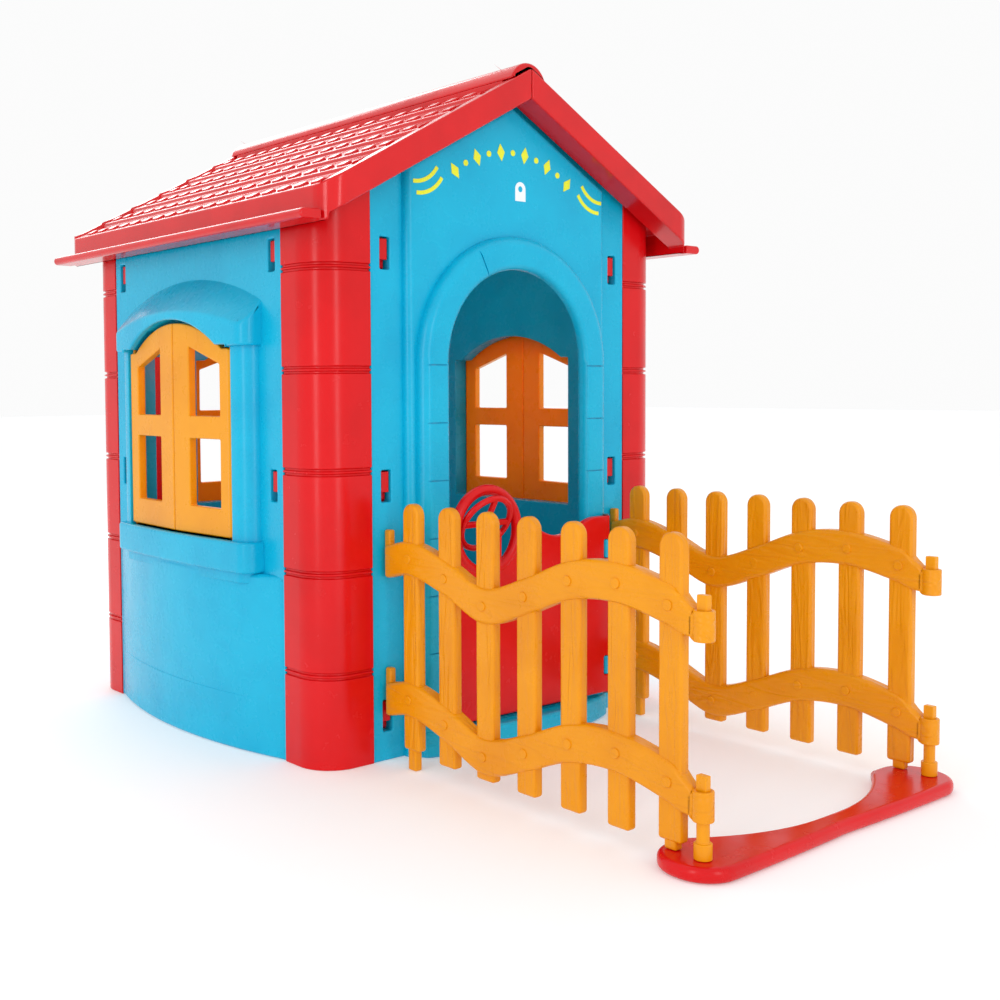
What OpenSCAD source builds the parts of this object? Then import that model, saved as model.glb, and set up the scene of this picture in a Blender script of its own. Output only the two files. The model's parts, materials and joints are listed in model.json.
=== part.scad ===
// Children's plastic playhouse with a fenced yard.
// Millimetres, +Z up, the doorway faces -Y, and the origin is on the ground
// under the middle of the whole set.

/* [House] */
// Distance from the house centre to the outer face of each wall panel
wall_face = 460; // [430:1:490]
// Half the width of each wall panel
panel_half = 342; // [330:1:350]
// Thickness of the twin-wall panels
wall_t = 24; // [20:1:30]
// Height of the two side walls
side_wall_h = 1036; // [1010:1:1040]
// Gap between pieces that meet
seam = 0.5; // [0.3:0.1:1]

/* [Corner posts] */
// Height of the corner posts
post_h = 1036; // [1010:1:1040]
// How far the posts stand out past the wall faces
post_proud = 2; // [0:0.5:5]
// Corner radius of the posts
post_r = 72; // [50:1:90]
// Height of the lowest ring groove
ring_z = 173; // [150:1:200]
// Distance between ring grooves
ring_pitch = 187; // [160:1:195]

/* [Lock slots] */
// Distance of the slots from the middle of a wall panel
slot_x = 308; // [300:1:315]
// Width of a slot
slot_w = 23; // [18:1:26]
// Height of a slot
slot_h = 60; // [50:1:66]
// Height of the middle of the lowest slots
slot_z = 85; // [75:1:100]
// Distance between slots up the wall
slot_pitch = 432.5; // [400:0.5:450]

/* [Roof] */
// Height of the roof planes where they meet over the ridge
roof_apex = 1318; // [1290:1:1350]
// Half the width of the roof at its upper eave edge
eave_x = 489; // [482:1:500]
// Height of the upper eave edge
eave_z = 1055; // [1045:1:1070]
// Half the length of the roof along the ridge
roof_half = 534; // [515:1:560]
// Reach of the drip lip past the eave
lip_reach = 44; // [30:1:60]
// Depth of the verge boards at the gables
verge_h = 58; // [50:1:70]
// Rows of tiles on each slope
tile_rows = 6; // [4:1:8]

/* [Doorway] */
// Half the width of the doorway
door_open_half = 184; // [170:1:190]
// Height of the top of the doorway arch
arch_top = 932; // [900:1:950]
// Width of the stone surround
surround_w = 66; // [55:1:72]
// How far the surround stands out from the wall
surround_d = 43; // [35:1:50]
// Height of the doorstep
step_h = 50; // [40:1:60]
// How far the middle of the doorstep stands out past the surround
step_bow = 52; // [40:1:60]

/* [Half door] */
// Thickness of the door leaf
door_t = 16; // [12:1:18]
// Height of the middle of the porthole
porthole_z = 423; // [410:1:430]
// Distance of the porthole from the middle of the doorway
porthole_x = 106; // [95:1:115]
// Radius of the porthole's rim at the middle of its tube
porthole_r = 79.5; // [70:0.5:85]
// Radius of the rim's tube
rim_r = 10.5; // [8:0.5:11]
// Distance of the door's hinge axis from the middle of the doorway
door_axis_x = 231; // [225:1:236]
// Radius of the door's hinge pins
door_pin_r = 3; // [2.5:0.5:4]

/* [Steering wheel] */
// Radius of the wheel at the middle of its rim
wheel_r = 58; // [50:1:59]
// Radius of the wheel's rim
wheel_rim = 6; // [4.5:0.5:6]
// Lean of the wheel's axle above level
wheel_tilt = 30; // [28:1:35]

/* [Windows] */
// Half the width of a window
win_half = 212; // [200:1:216]
// Height of the bottom of the shutters
win_z = 411; // [400:1:420]
// Height of the shutters' outer corners
win_ear_z = 779; // [760:1:785]
// Height of the middle of the arch over the shutters
win_top_z = 835; // [825:1:845]
// Thickness of a shutter
shutter_t = 18; // [14:1:20]
// Angle between each closed shutter and the wall
shutter_lean = 2.8; // [0:0.1:4]
// How far the window bay stands out from the wall
bay_d = 36; // [30:1:40]
// Radius of the shutters' pivot pegs
peg_r = 4; // [3:0.5:5]

/* [Fence] */
// Distance of each fence panel from the middle of the yard
fence_x = 308; // [300:1:315]
// Distance of the first picket from the house centre
picket_y = 540; // [520:1:550]
// Distance between pickets
picket_pitch = 100; // [90:1:105]
// Number of pickets in each panel
pickets = 7; // [7:1:7]
// Width of a picket
picket_w = 44; // [36:1:50]
// Thickness of a picket
picket_t = 20; // [16:1:24]
// Height of the picket tops
picket_top = 490; // [460:1:520]
// Height of the bottoms of the loose pickets
picket_low = 29; // [28:1:40]
// Height of a rail
rail_h = 62; // [50:1:68]
// Thickness of a rail
rail_t = 30; // [26:1:34]
// Distance between the upper and lower rails
rail_gap = 259; // [250:1:265]
// Radius of the round posts at the gate end
gate_post_r = 9.5; // [8:0.5:11]

/* [Gate sill] */
// Height of the gate sill
sill_h = 24; // [20:1:26]
// Half the length of the gate sill
sill_half = 350; // [345:1:365]

/* [Hidden] */
$fn = 64;
RUN = 0.06;                                   // radial clearance of a turning fit
WALL_GAP = 0.5;                               // gap between a post's wings and a wall
roof_slope = (roof_apex - eave_z) / eave_x;
roof_skin = 25;                               // upright thickness of the roof skin
verge_d = 58;                                 // length of a verge board along the ridge
fascia_t = 14;
lip_t = 18;
lip_z = 992;
post_face = wall_face + post_proud;
gate_y = picket_y + (pickets - 1) * picket_pitch + 54;
sill_front = gate_y + 46;
set_y = (sill_front - roof_half) / 2;         // house centre from the set's middle
surround_y = wall_face + surround_d;
door_y = surround_y + 3 + door_t / 2;         // middle of the door leaf
door_low = step_h + 8;
door_left = porthole_x + porthole_r + rim_r;
arch_z = arch_top - door_open_half;
panel_d = 18;                                 // how far the gable panel stands out
bay_half = 262;
band_proud = 11;                              // hood and window sill past the bay
bay_front = wall_face + bay_d;
shutter_y = bay_front - 2;                    // outer face of a shutter at its hinge
shutter_axis = shutter_t / 2;
knuckle_r = shutter_axis + 0.6;                // the hinge edge stands a little proud
ear_w = 32;
fit_gap = 3;                                  // gap around a shutter

// ---------------------------------------------------------------- helpers

// Puts a piece that is drawn about the house centre into the set's frame.
module in_set() translate([0, set_y, 0]) children();

// Extrudes an outline drawn in X and Z between two planes of constant Y.
module upright(y_front, y_back)
    translate([0, y_back, 0]) rotate([90, 0, 0]) linear_extrude(y_back - y_front) children();

// Turns a wall that is drawn facing -Y to face another side of the house.
module facing(angle) in_set() rotate([0, 0, angle]) children();

// Rounded rectangle centred in X that runs from y_front back to y_back.
module round_front(half, y_front, y_back, r) {
    translate([-half + r, y_front]) square([2 * (half - r), y_back - y_front]);
    translate([-half, y_front + r]) square([2 * half, y_back - y_front - r]);
    for (s = [-1, 1]) translate([s * (half - r), y_front + r]) circle(r);
}

// Points on a circle.
function arc(c, r, a0, a1, n) =
    [for (i = [0 : n]) let (a = a0 + (a1 - a0) * i / n) [c[0] + r * cos(a), c[1] + r * sin(a)]];

// Height of the roof plane over a point that is x from the ridge.
function roof_z(x) = roof_apex - roof_slope * x;

// Height of the underside of the roof skin, where the walls and posts end.
function under_roof(x) = roof_z(x) - roof_skin - seam;

// ---------------------------------------------------------------- walls

// Outline of a side wall panel.
module side_outline() polygon([[-panel_half, 0], [panel_half, 0],
    [panel_half, side_wall_h], [-panel_half, side_wall_h]]);

// Outline of a gable wall panel.
module gable_outline() polygon([[-panel_half, 0], [panel_half, 0],
    [panel_half, under_roof(panel_half)], [0, under_roof(0)],
    [-panel_half, under_roof(panel_half)]]);

// The six lock slots of a wall panel.
module lock_slots()
    for (s = [-1, 1], k = [0 : 2])
        translate([s * slot_x, -wall_face, slot_z + k * slot_pitch])
            cube([slot_w, 80, slot_h], center = true);

// Radius of the circle that rises by sag over a chord of 2 * half.
function bow_r(half, sag) = (half * half + sag * sag) / (2 * sag);

// Flat shape in plan that bows outwards from the plane y = -y0.
module bow(half, y0, sag) {
    r = bow_r(half, sag);
    intersection() {
        translate([0, -y0 + r - sag]) circle(r, $fn = 180);
        translate([-half, -y0 - sag]) square([2 * half, sag + 1]);
    }
}

// Outline of the window, larger than the pair of shutters by grow on every side.
module window_outline(grow, top_grow) {
    flat = win_half - ear_w;
    rise = win_top_z - win_ear_z;
    r = bow_r(flat, rise);
    translate([-win_half - grow, win_z - grow])
        square([2 * (win_half + grow), win_ear_z - win_z + grow + top_grow]);
    intersection() {
        translate([0, win_top_z + top_grow - r]) circle(r, $fn = 180);
        translate([-flat, win_ear_z]) square([2 * flat, rise + top_grow]);
    }
}

// Wall panel with a window bay, a hood, a window sill and a bowed lower half.
// Drawn facing -Y.
module window_wall() {
    bow_sag = 50;
    sill_low = 348;
    hood_z = 783;
    hood_h = 60;
    difference() {
        union() {
            upright(-wall_face, -wall_face + wall_t) children();
            linear_extrude(sill_low) bow(panel_half, wall_face - 1, bow_sag);
            bay_block(sill_low, win_ear_z + 40, bay_half, bay_front, 34);
            bay_block(sill_low, win_z - fit_gap, bay_half + band_proud,
                bay_front + band_proud, 30);
            intersection() {
                bay_block(hood_z, win_top_z + hood_h, bay_half + band_proud,
                    bay_front + band_proud, 30);
                upright(-wall_face - 90, -wall_face + 1) hood_outline(hood_z, hood_h);
            }
        }
        lock_slots();
        // opening right through the wall, with a rebate behind the shutters
        upright(-wall_face - 90, -wall_face + wall_t + 1)
            intersection() {
                window_outline(-8, -8);
                translate([-win_half, 0]) square([2 * win_half, 1200]);
            }
        shutter_recess();
        // sockets for the shutters' pivot pegs
        for (s = [-1, 1]) translate([s * (win_half - shutter_axis), -shutter_y + shutter_axis, 0])
            translate([0, 0, win_z - 16]) cylinder(h = win_ear_z - win_z + 32, r = peg_r + RUN);
    }
}

// Block of the bay between two heights, with a gently bowed front.
module bay_block(z0, z1, half, front, r) {
    sag = win_half * tan(shutter_lean);
    translate([0, 0, z0]) linear_extrude(z1 - z0) intersection() {
        round_front(half, -front - sag, -wall_face + 1, r);
        translate([0, -front - sag + bow_r(win_half, sag)]) circle(bow_r(win_half, sag), $fn = 180);
    }
}

// Outline of the arched hood over a window.
module hood_outline(z0, h) {
    half = bay_half + band_proud;
    rise = 55;
    r = bow_r(half, rise);
    crown = win_top_z + h - rise;
    translate([-half, z0]) square([2 * half, crown - z0]);
    intersection() {
        translate([0, crown + rise - r]) circle(r, $fn = 180);
        translate([-half, crown - 1]) square([2 * half, rise + 2]);
    }
}

// Room for the two shutters in front of the opening.
module shutter_recess() upright(-wall_face - 90, -shutter_y + shutter_t + 2)
    window_outline(fit_gap, 7);

module left_wall() color("deepskyblue") facing(-90) window_wall() side_outline();
module right_wall() color("deepskyblue") facing(90) window_wall() side_outline();
module back_wall() color("deepskyblue") facing(180) window_wall() gable_outline();

// Outline of the raised panel around the doorway and up into the gable.
module gable_panel() {
    half = door_open_half + surround_w + 18;
    edge = 34;
    polygon([[-half, 0], [half, 0], [half, under_roof(half) - edge],
        [0, under_roof(0) - edge], [-half, under_roof(half) - edge]]);
}

// Arched outline of the doorway or its surround.
module arch_outline(half, low, centre_z) {
    translate([-half, low]) square([2 * half, centre_z - low]);
    translate([0, centre_z]) circle(half, $fn = 128);
}

// Hinge lug on the surround, between two heights.
module hinge_lug(z0, z1) translate([door_axis_x, 0, z0]) linear_extrude(z1 - z0) {
    translate([0, -door_y]) circle(door_t / 2);
    translate([-door_t / 2, -door_y]) square([door_t, door_y - surround_y + 1]);
}

lug_h = 38;
lug_low_z = 96;
lug_high_z = 342;

module front_wall() color("deepskyblue") in_set() difference() {
    union() {
        upright(-wall_face, -wall_face + wall_t) gable_outline();
        upright(-wall_face - panel_d, -wall_face + 1) gable_panel();
        upright(-surround_y, -wall_face + 1)
            arch_outline(door_open_half + surround_w, 0, arch_z);
        linear_extrude(step_h) bow(door_open_half + surround_w, surround_y - 1, step_bow);
        for (z = [lug_low_z, lug_high_z]) hinge_lug(z, z + lug_h);
    }
    lock_slots();
    upright(-surround_y - 90, -wall_face + wall_t + 1)
        arch_outline(door_open_half, step_h, arch_z);
    // pockets that take the tongues of the fence panels
    for (s = [-1, 1], drop = [0, rail_gap])
        translate([s * fence_x, -wall_face, tongue_z - drop])
            cube([tongue_w + 1, 2 * tongue_d + 2, tongue_h + 1], center = true);
    translate([door_axis_x, -door_y, lug_low_z - 1])
        cylinder(h = lug_high_z - lug_low_z + lug_h + 2, r = door_pin_r);
}

// ---------------------------------------------------------------- corner posts

// Outline in plan of the outer skin of a post, set in by inset.
function post_skin(inset) = concat(
    [[panel_half + seam, -post_face + inset]],
    arc([post_face - post_r, -post_face + post_r], post_r - inset, -90, 0, 16),
    [[post_face - inset, -panel_half - seam]]);

// One corner post in plan, drawn at +X, -Y, with a wing behind each wall.
module post_plan(inset) {
    wing_y = wall_face - wall_t - WALL_GAP;
    wing_end = slot_x - slot_w / 2 - 8;
    wing_t = 20;
    polygon(concat(post_skin(inset),
        [[wing_y, -panel_half - seam], [wing_y, -wing_end], [wing_y - wing_t, -wing_end],
         [wing_y - wing_t, -wing_y + wing_t], [wing_end, -wing_y + wing_t],
         [wing_end, -wing_y], [panel_half + seam, -wing_y]]));
}

// A ring groove around the outer skin: a bead between two cuts.
module ring_cut(z) {
    deep = 5;
    for (dz = [-7, 2]) translate([0, 0, z + dz]) linear_extrude(5) difference() {
        polygon(concat([[panel_half + seam - 1, -post_face - 20], [post_face + 20, -post_face - 20],
            [post_face + 20, -panel_half - seam + 1], [300, -panel_half - seam + 1], [300, -300]]));
        post_plan(deep);
        square([2 * (wall_face - wall_t), 2 * (wall_face - wall_t)], center = true);
    }
}

// Tabs that lock into the slots of one wall.
module lock_tabs() {
    tab_set = 5;
    tab_w = slot_w - 5;
    tab_h = slot_h - 6;
    wing_y = wall_face - wall_t - WALL_GAP;
    for (k = [0 : 2]) translate([slot_x, -wall_face + tab_set, slot_z + k * slot_pitch])
        translate([-tab_w / 2, 0, -tab_h / 2])
            cube([tab_w, wall_face - tab_set - wing_y + 1, tab_h]);
}

module corner_post() {
    difference() {
        linear_extrude(post_h) post_plan(0);
        for (k = [0 : 4]) ring_cut(ring_z + k * ring_pitch);
        // the top is cut to the slope of the roof
        upright(-post_face - 50, 0) polygon([[0, under_roof(0)], [600, under_roof(600)],
            [600, 1500], [0, 1500]]);
    }
    lock_tabs();
    mirror([1, 1, 0]) lock_tabs();
}

module post_front_right() color("red") in_set() corner_post();
module post_front_left() color("red") in_set() mirror([1, 0, 0]) corner_post();
module post_back_right() color("red") in_set() mirror([0, 1, 0]) corner_post();
module post_back_left() color("red") in_set() rotate([0, 0, 180]) corner_post();

// ---------------------------------------------------------------- roof

// Profile of the tiled skin: each row rises towards its lower edge.
module tile_profile() {
    top_x = 34;
    run = (eave_x - top_x) / tile_rows;
    sink = 9;
    steps = [for (i = [0 : tile_rows - 1])
        each [[top_x + i * run, roof_z(top_x + i * run) - sink],
              [top_x + (i + 1) * run, roof_z(top_x + (i + 1) * run) - 1]]];
    polygon(concat([[seam, roof_z(seam) - roof_skin], [seam, roof_z(seam) - sink]], steps,
        [[eave_x, roof_z(eave_x) - roof_skin]]));
}

// Profile of the verge boards and the smooth border over them.
module verge_profile(depth) polygon([[seam, roof_z(seam)], [eave_x, eave_z],
    [eave_x, max(lip_z, eave_z - depth)], [eave_x - fascia_t, max(lip_z, roof_z(eave_x - fascia_t) - depth)],
    [seam, roof_z(seam) - depth]]);

module roof_half() {
    border = 28;
    corner_r = 46;
    intersection() {
        union() {
            upright(-roof_half, roof_half) tile_profile();
            for (s = [-1, 1]) {
                translate([0, s * (roof_half - border / 2), 0])
                    upright(-border / 2, border / 2) verge_profile(roof_skin);
                translate([0, s * (roof_half - verge_d / 2), 0])
                    upright(-verge_d / 2, verge_d / 2) translate([0, -9]) verge_profile(verge_h - 9);
                translate([0, s * (roof_half - border / 2), 0])
                    upright(-border / 2, border / 2) verge_profile(verge_h);
            }
            translate([eave_x - fascia_t, -roof_half, lip_z])
                cube([fascia_t, 2 * roof_half, eave_z - lip_z - 1]);
        }
        linear_extrude(1500) rotate([0, 0, 90]) round_front(roof_half, -eave_x, 0, corner_r);
    }
    // drip lip along the eave
    lip_half = roof_half - 8;
    translate([eave_x - 1, -lip_half + lip_t / 2, lip_z])
        cube([lip_reach + 1 - lip_t / 2, 2 * lip_half - lip_t, lip_t]);
    translate([eave_x + lip_reach - lip_t / 2, lip_half - lip_t / 2, lip_z + lip_t / 2])
        rotate([90, 0, 0]) cylinder(h = 2 * lip_half - lip_t, r = lip_t / 2);
}

module roof_right() color("red") in_set() roof_half();
module roof_left() color("red") in_set() mirror([1, 0, 0]) roof_half();

// Rounded cap over the ridge, seated on the two roof planes.
module ridge_cap() color("red") in_set() {
    half = 46;
    top = 12;
    cap_half = roof_half - 8;
    r = bow_r(half, roof_slope * half + top);
    upright(-cap_half, cap_half) difference() {
        intersection() {
            translate([0, roof_apex + top - r]) circle(r, $fn = 128);
            translate([-half, roof_z(half) - 12]) square([2 * half, 100]);
        }
        polygon([[-half - 1, roof_z(half + 1) + seam], [0, roof_apex + seam],
            [half + 1, roof_z(half + 1) + seam], [half + 1, roof_z(half) - 60],
            [-half - 1, roof_z(half) - 60]]);
    }
}

// ---------------------------------------------------------------- half door

// Height of the door's top edge between the porthole and the hinge side.
function door_edge(x) = x < 85
    ? 400 + 20 * (1 - cos(180 * min(85 - x, 125) / 125))
    : 400 + 15 * (1 - cos(180 * min(x - 85, 115) / 115));

module door_outline() {
    polygon(concat([[door_axis_x, door_low], [-door_left + 3, door_low],
        [-door_left + 3, porthole_z - 40], [-porthole_x, porthole_z]],
        [for (i = [0 : 24]) let (x = -40 + i * (door_axis_x + 40) / 24) [x, door_edge(x)]]));
    translate([-porthole_x, porthole_z]) circle(porthole_r, $fn = 96);
}

// Direction of the steering axle: from the door inwards and up.
module on_axle() translate([-porthole_x, -wheel_y, wheel_z]) rotate([wheel_tilt - 90, 0, 0]) children();

wheel_y = 512;
wheel_z = porthole_z + 14;
axle_r = 5;
hub_r = 13;
hub_h = 14;
boss_h = 20;

module door() color("red") in_set() {
    relief = 9;
    difference() {
        union() {
            upright(-door_y - door_t / 2, -door_y + door_t / 2) door_outline();
            translate([door_axis_x, -door_y, door_low])
                cylinder(h = door_edge(door_axis_x) - door_low, r = door_t / 2);
            translate([-porthole_x, -door_y, porthole_z]) rotate([90, 0, 0])
                rotate_extrude($fn = 96) translate([porthole_r, 0]) circle(rim_r, $fn = 32);
            steering_arm();
        }
        translate([-porthole_x, -door_y, porthole_z]) rotate([90, 0, 0])
            cylinder(h = door_t + 1, r = porthole_r - rim_r + 2, center = true, $fn = 96);
        for (z = [lug_low_z, lug_high_z]) translate([door_axis_x - door_t / 2 - 4, -door_y - 20, z - 1])
            cube([40, 40, lug_h + 2]);
        translate([door_axis_x, -door_y, 0]) cylinder(h = 500, r = door_pin_r + RUN);
        on_axle() translate([0, 0, -boss_h - hub_h - 20]) cylinder(h = 80, r = axle_r);
    }
}

// Arm in front of the porthole that carries the steering axle.
module steering_arm() {
    arm_w = 24;
    foot_z = porthole_z - porthole_r - 44;
    front = -door_y - door_t / 2;
    intersection() {
        translate([-porthole_x - arm_w / 2, 0, 0]) rotate([90, 0, 90]) linear_extrude(arm_w)
            polygon([[front + 4, foot_z], [front - 8, foot_z], [front - 22, foot_z + 26],
                [front - 24, wheel_z - 16], [front - 14, wheel_z - 4], [front - 3, wheel_z - 14],
                [front - 4, foot_z + 44], [front + 4, foot_z + 44]]);
        on_axle() translate([-60, -200, -400]) cube([120, 400, 400 - hub_h / 2 - 0.4]);
    }
    on_axle() translate([0, 0, -boss_h - hub_h / 2]) cylinder(h = boss_h - 0.4, r = hub_r - 1);
}

module door_pin_upper() color("dimgray") in_set() translate([door_axis_x, -door_y, 0]) {
    top = door_edge(door_axis_x);
    translate([0, 0, lug_high_z - 25]) cylinder(h = top + 0.4 - lug_high_z + 25, r = door_pin_r);
    translate([0, 0, top + 0.4]) cylinder(h = 3, r = door_pin_r + 3);
}

module door_pin_lower() color("dimgray") in_set() translate([door_axis_x, -door_y, 0]) {
    translate([0, 0, door_low - 0.4]) cylinder(h = lug_low_z + lug_h + 25 - door_low, r = door_pin_r);
    translate([0, 0, door_low - 3.4]) cylinder(h = 3, r = door_pin_r + 3);
}

// ---------------------------------------------------------------- steering wheel

module steering_wheel() color("red") in_set() on_axle() difference() {
    union() {
        rotate_extrude($fn = 96) translate([wheel_r, 0]) circle(wheel_rim, $fn = 32);
        translate([0, 0, -hub_h / 2]) cylinder(h = hub_h, r = hub_r);
        for (a = [0, 180, 270]) rotate([0, 0, a]) translate([hub_r - 2, -6, -4])
            cube([wheel_r - hub_r, 12, 8]);
    }
    cylinder(h = hub_h + 2, r = axle_r + RUN, center = true);
}

module steering_axle() color("dimgray") in_set() on_axle()
    translate([0, 0, -hub_h / 2 - boss_h]) cylinder(h = boss_h + hub_h + 0.4, r = axle_r);

module steering_cap() color("gold") in_set() on_axle()
    translate([0, 0, hub_h / 2 + 0.4]) cylinder(h = 5, r = axle_r + 5);

// ---------------------------------------------------------------- shutters

// Outline of the left shutter of a pair, seen from outside.
module shutter_outline() {
    pane_in = 60;
    pane_out = 172;
    difference() {
        intersection() {
            window_outline(0, 0);
            translate([-win_half + shutter_axis, 0]) square([win_half - shutter_axis - 0.6, 1200]);
        }
        translate([-pane_out, win_z + 55]) square([pane_out - pane_in, 136]);
        polygon([[-pane_out, win_z + 236], [-pane_in, win_z + 236],
            [-pane_in, win_top_z - 49], [-pane_out, win_ear_z - 31]]);
    }
}

// One shutter, drawn as the left one of a window that faces -Y.
module shutter_leaf() {
    peg_l = 12;
    axis_x = -win_half + shutter_axis;
    axis_y = -shutter_y + shutter_axis;
    translate([axis_x, axis_y, 0]) rotate([0, 0, -shutter_lean]) translate([-axis_x, 0, 0])
        upright(-shutter_axis, shutter_axis) shutter_outline();
    translate([axis_x, axis_y, win_z + 2]) cylinder(h = win_ear_z - win_z - 4, r = knuckle_r);
    for (z = [win_z - peg_l, win_ear_z - 3]) translate([axis_x, axis_y, z])
        cylinder(h = peg_l + 3, r = peg_r);
}

module shutter(angle, side) color("orange") facing(angle)
    if (side < 0) shutter_leaf(); else mirror([1, 0, 0]) shutter_leaf();

module left_shutter_back() shutter(-90, -1);
module left_shutter_front() shutter(-90, 1);
module right_shutter_front() shutter(90, -1);
module right_shutter_back() shutter(90, 1);
module back_shutter_right() shutter(180, -1);
module back_shutter_left() shutter(180, 1);

// ---------------------------------------------------------------- fence

// Heights of the upper rail's centre line at the wall, at each picket and at the gate.
rail_heights = [378, 390, 365, 330, 359, 397, 405, 385, 361];
tongue_w = 12;
tongue_d = 14;
tongue_h = 34;

// Height of the middle of the upper tongue.
tongue_z = rail_z(0) + 26;

// Smooth height of the upper rail, where n counts pickets from the house.
function rail_z(n) =
    let (i = min(floor(n), len(rail_heights) - 2), t = n - i,
         p1 = rail_heights[i], p2 = rail_heights[i + 1],
         p0 = rail_heights[max(i - 1, 0)],
         p3 = rail_heights[min(i + 2, len(rail_heights) - 1)])
    0.5 * (2 * p1 + (p2 - p0) * t + (2 * p0 - 5 * p1 + 4 * p2 - p3) * t * t
        + (3 * p1 - p0 - 3 * p2 + p3) * t * t * t);

// Place along the fence of picket n; 0 is at the wall and pickets + 1 at the gate.
function rail_y(n) = n < 1 ? wall_face + 8 + n * (picket_y - wall_face - 8)
    : n > pickets ? picket_y + (pickets - 1) * picket_pitch
        + (n - pickets) * (gate_y - picket_y - (pickets - 1) * picket_pitch)
    : picket_y + (n - 1) * picket_pitch;

// Outline of a rail in Y and Z.
module rail_outline(drop) {
    steps = 4 * (pickets + 1);
    path = [for (i = [0 : steps]) let (n = i / 4) [-rail_y(n), rail_z(n) - drop]];
    polygon(concat([for (p = path) [p[0], p[1] + rail_h / 2]],
        [for (i = [steps : -1 : 0]) [path[i][0], path[i][1] - rail_h / 2]]));
}

// Extrudes an outline drawn in Y and Z by t about the plane x = 0.
module along_x(t) translate([-t / 2, 0, 0]) rotate([90, 0, 90]) linear_extrude(t) children();

module picket(n) {
    y = -picket_y - (n - 1) * picket_pitch;
    end = n == 1 || n == pickets;
    low = end ? picket_low + 8 : picket_low;
    along_x(picket_t) {
        translate([y - picket_w / 2, low]) square([picket_w, picket_top - picket_w / 2 - low]);
        translate([y, picket_top - picket_w / 2]) circle(picket_w / 2);
    }
    // the end pickets stand on a peg
    peg_low = n == pickets ? sill_h + seam : 0;
    if (end) translate([-picket_t / 2 + 2, y - picket_w / 4, peg_low])
        cube([picket_t - 4, picket_w / 2, low - peg_low + 1]);
}

module fence_panel() difference() {
    ring_r = 16;
    union() {
        for (drop = [0, rail_gap]) {
            along_x(rail_t) difference() {
                rail_outline(drop);
                translate([-gate_y - 50, 0]) square([50 + ring_r - 4, 600]);
            }
            // hook bar against the wall, with its tongue in the wall's pocket
            translate([-7, -wall_face - 17, rail_z(0) - drop - 30])
                cube([14, 17 - seam, 89]);
            translate([-tongue_w / 2, -wall_face - 5, tongue_z - drop - tongue_h / 2])
                cube([tongue_w, tongue_d + 4, tongue_h]);
            // socket ring at the gate end
            translate([0, -gate_y, rail_z(pickets + 1) - drop - 16]) cylinder(h = 32, r = ring_r);
        }
        for (n = [1 : pickets]) picket(n);
    }
    translate([0, -gate_y, 0]) cylinder(h = 600, r = gate_post_r + 0.3);
}

module fence_left() color("orange") in_set() translate([-fence_x, 0, 0]) fence_panel();
module fence_right() color("orange") in_set() translate([fence_x, 0, 0]) fence_panel();

// Flat head that stands on a socket ring.
module pin_head(z) translate([-6, -gate_y - 9, z]) cube([12, 18, 28]);

module fence_pin() {
    z = rail_z(pickets + 1);
    translate([0, -gate_y, z - 20]) cylinder(h = 36 + seam, r = gate_post_r);
    pin_head(z + 16 + seam - 0.2);
}

module fence_pin_left() color("orange") in_set() translate([-fence_x, 0, 0]) fence_pin();
module fence_pin_right() color("orange") in_set() translate([fence_x, 0, 0]) fence_pin();

// Long post from the lower socket ring down into the gate sill.
module gate_post() {
    z = rail_z(pickets + 1) - rail_gap;
    foot_h = 24;
    translate([0, -gate_y, 4]) cylinder(h = z + 16 + seam - 4, r = gate_post_r);
    translate([0, -gate_y, sill_h + seam]) cylinder(h = foot_h, r = gate_post_r + 4);
    pin_head(z + 16 + seam - 0.2);
}

module gate_post_left() color("orange") in_set() translate([-fence_x, 0, 0]) gate_post();
module gate_post_right() color("orange") in_set() translate([fence_x, 0, 0]) gate_post();

// ---------------------------------------------------------------- gate sill

// Half the depth of the gate sill at a place along it.
function sill_depth(x) = let (t = min(max((abs(x) - 120) / (sill_half - 165), 0), 1))
    26 + 20 * (1 - cos(180 * t)) / 2;

module gate_sill() color("red") in_set() {
    end_r = 46;
    centre = sill_half - end_r;
    difference() {
        translate([0, -gate_y, 0]) linear_extrude(sill_h) {
            polygon(concat(
                [for (i = [0 : 30]) let (x = -centre + i * 2 * centre / 30) [x, -46]],
                [for (i = [30 : -1 : 0]) let (x = -centre + i * 2 * centre / 30)
                    [x, -46 + 2 * sill_depth(x)]]));
            for (s = [-1, 1]) translate([s * centre, 0]) circle(end_r);
        }
        for (s = [-1, 1]) translate([s * fence_x, -gate_y, 3.5])
            cylinder(h = sill_h, r = gate_post_r + 0.3);
    }
}

// ---------------------------------------------------------------- nodes

front_wall();
back_wall();
left_wall();
right_wall();
post_front_left();
post_front_right();
post_back_left();
post_back_right();
roof_left();
roof_right();
ridge_cap();
door();
door_pin_upper();
door_pin_lower();
steering_wheel();
steering_axle();
steering_cap();
left_shutter_front();
left_shutter_back();
right_shutter_front();
right_shutter_back();
back_shutter_left();
back_shutter_right();
fence_left();
fence_right();
fence_pin_left();
fence_pin_right();
gate_post_left();
gate_post_right();
gate_sill();
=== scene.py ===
"""Looks of a children's moulded plastic playhouse with a fenced yard.

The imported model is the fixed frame. Every visible piece is a rounded, dressed
version of its CAD node, or is modelled here at the same place.
"""

from __future__ import annotations

import json
import logging
import math
from dataclasses import dataclass, field
from enum import Enum
from typing import Callable, Iterable, Sequence

import bpy
from mathutils import Matrix, Vector

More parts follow.
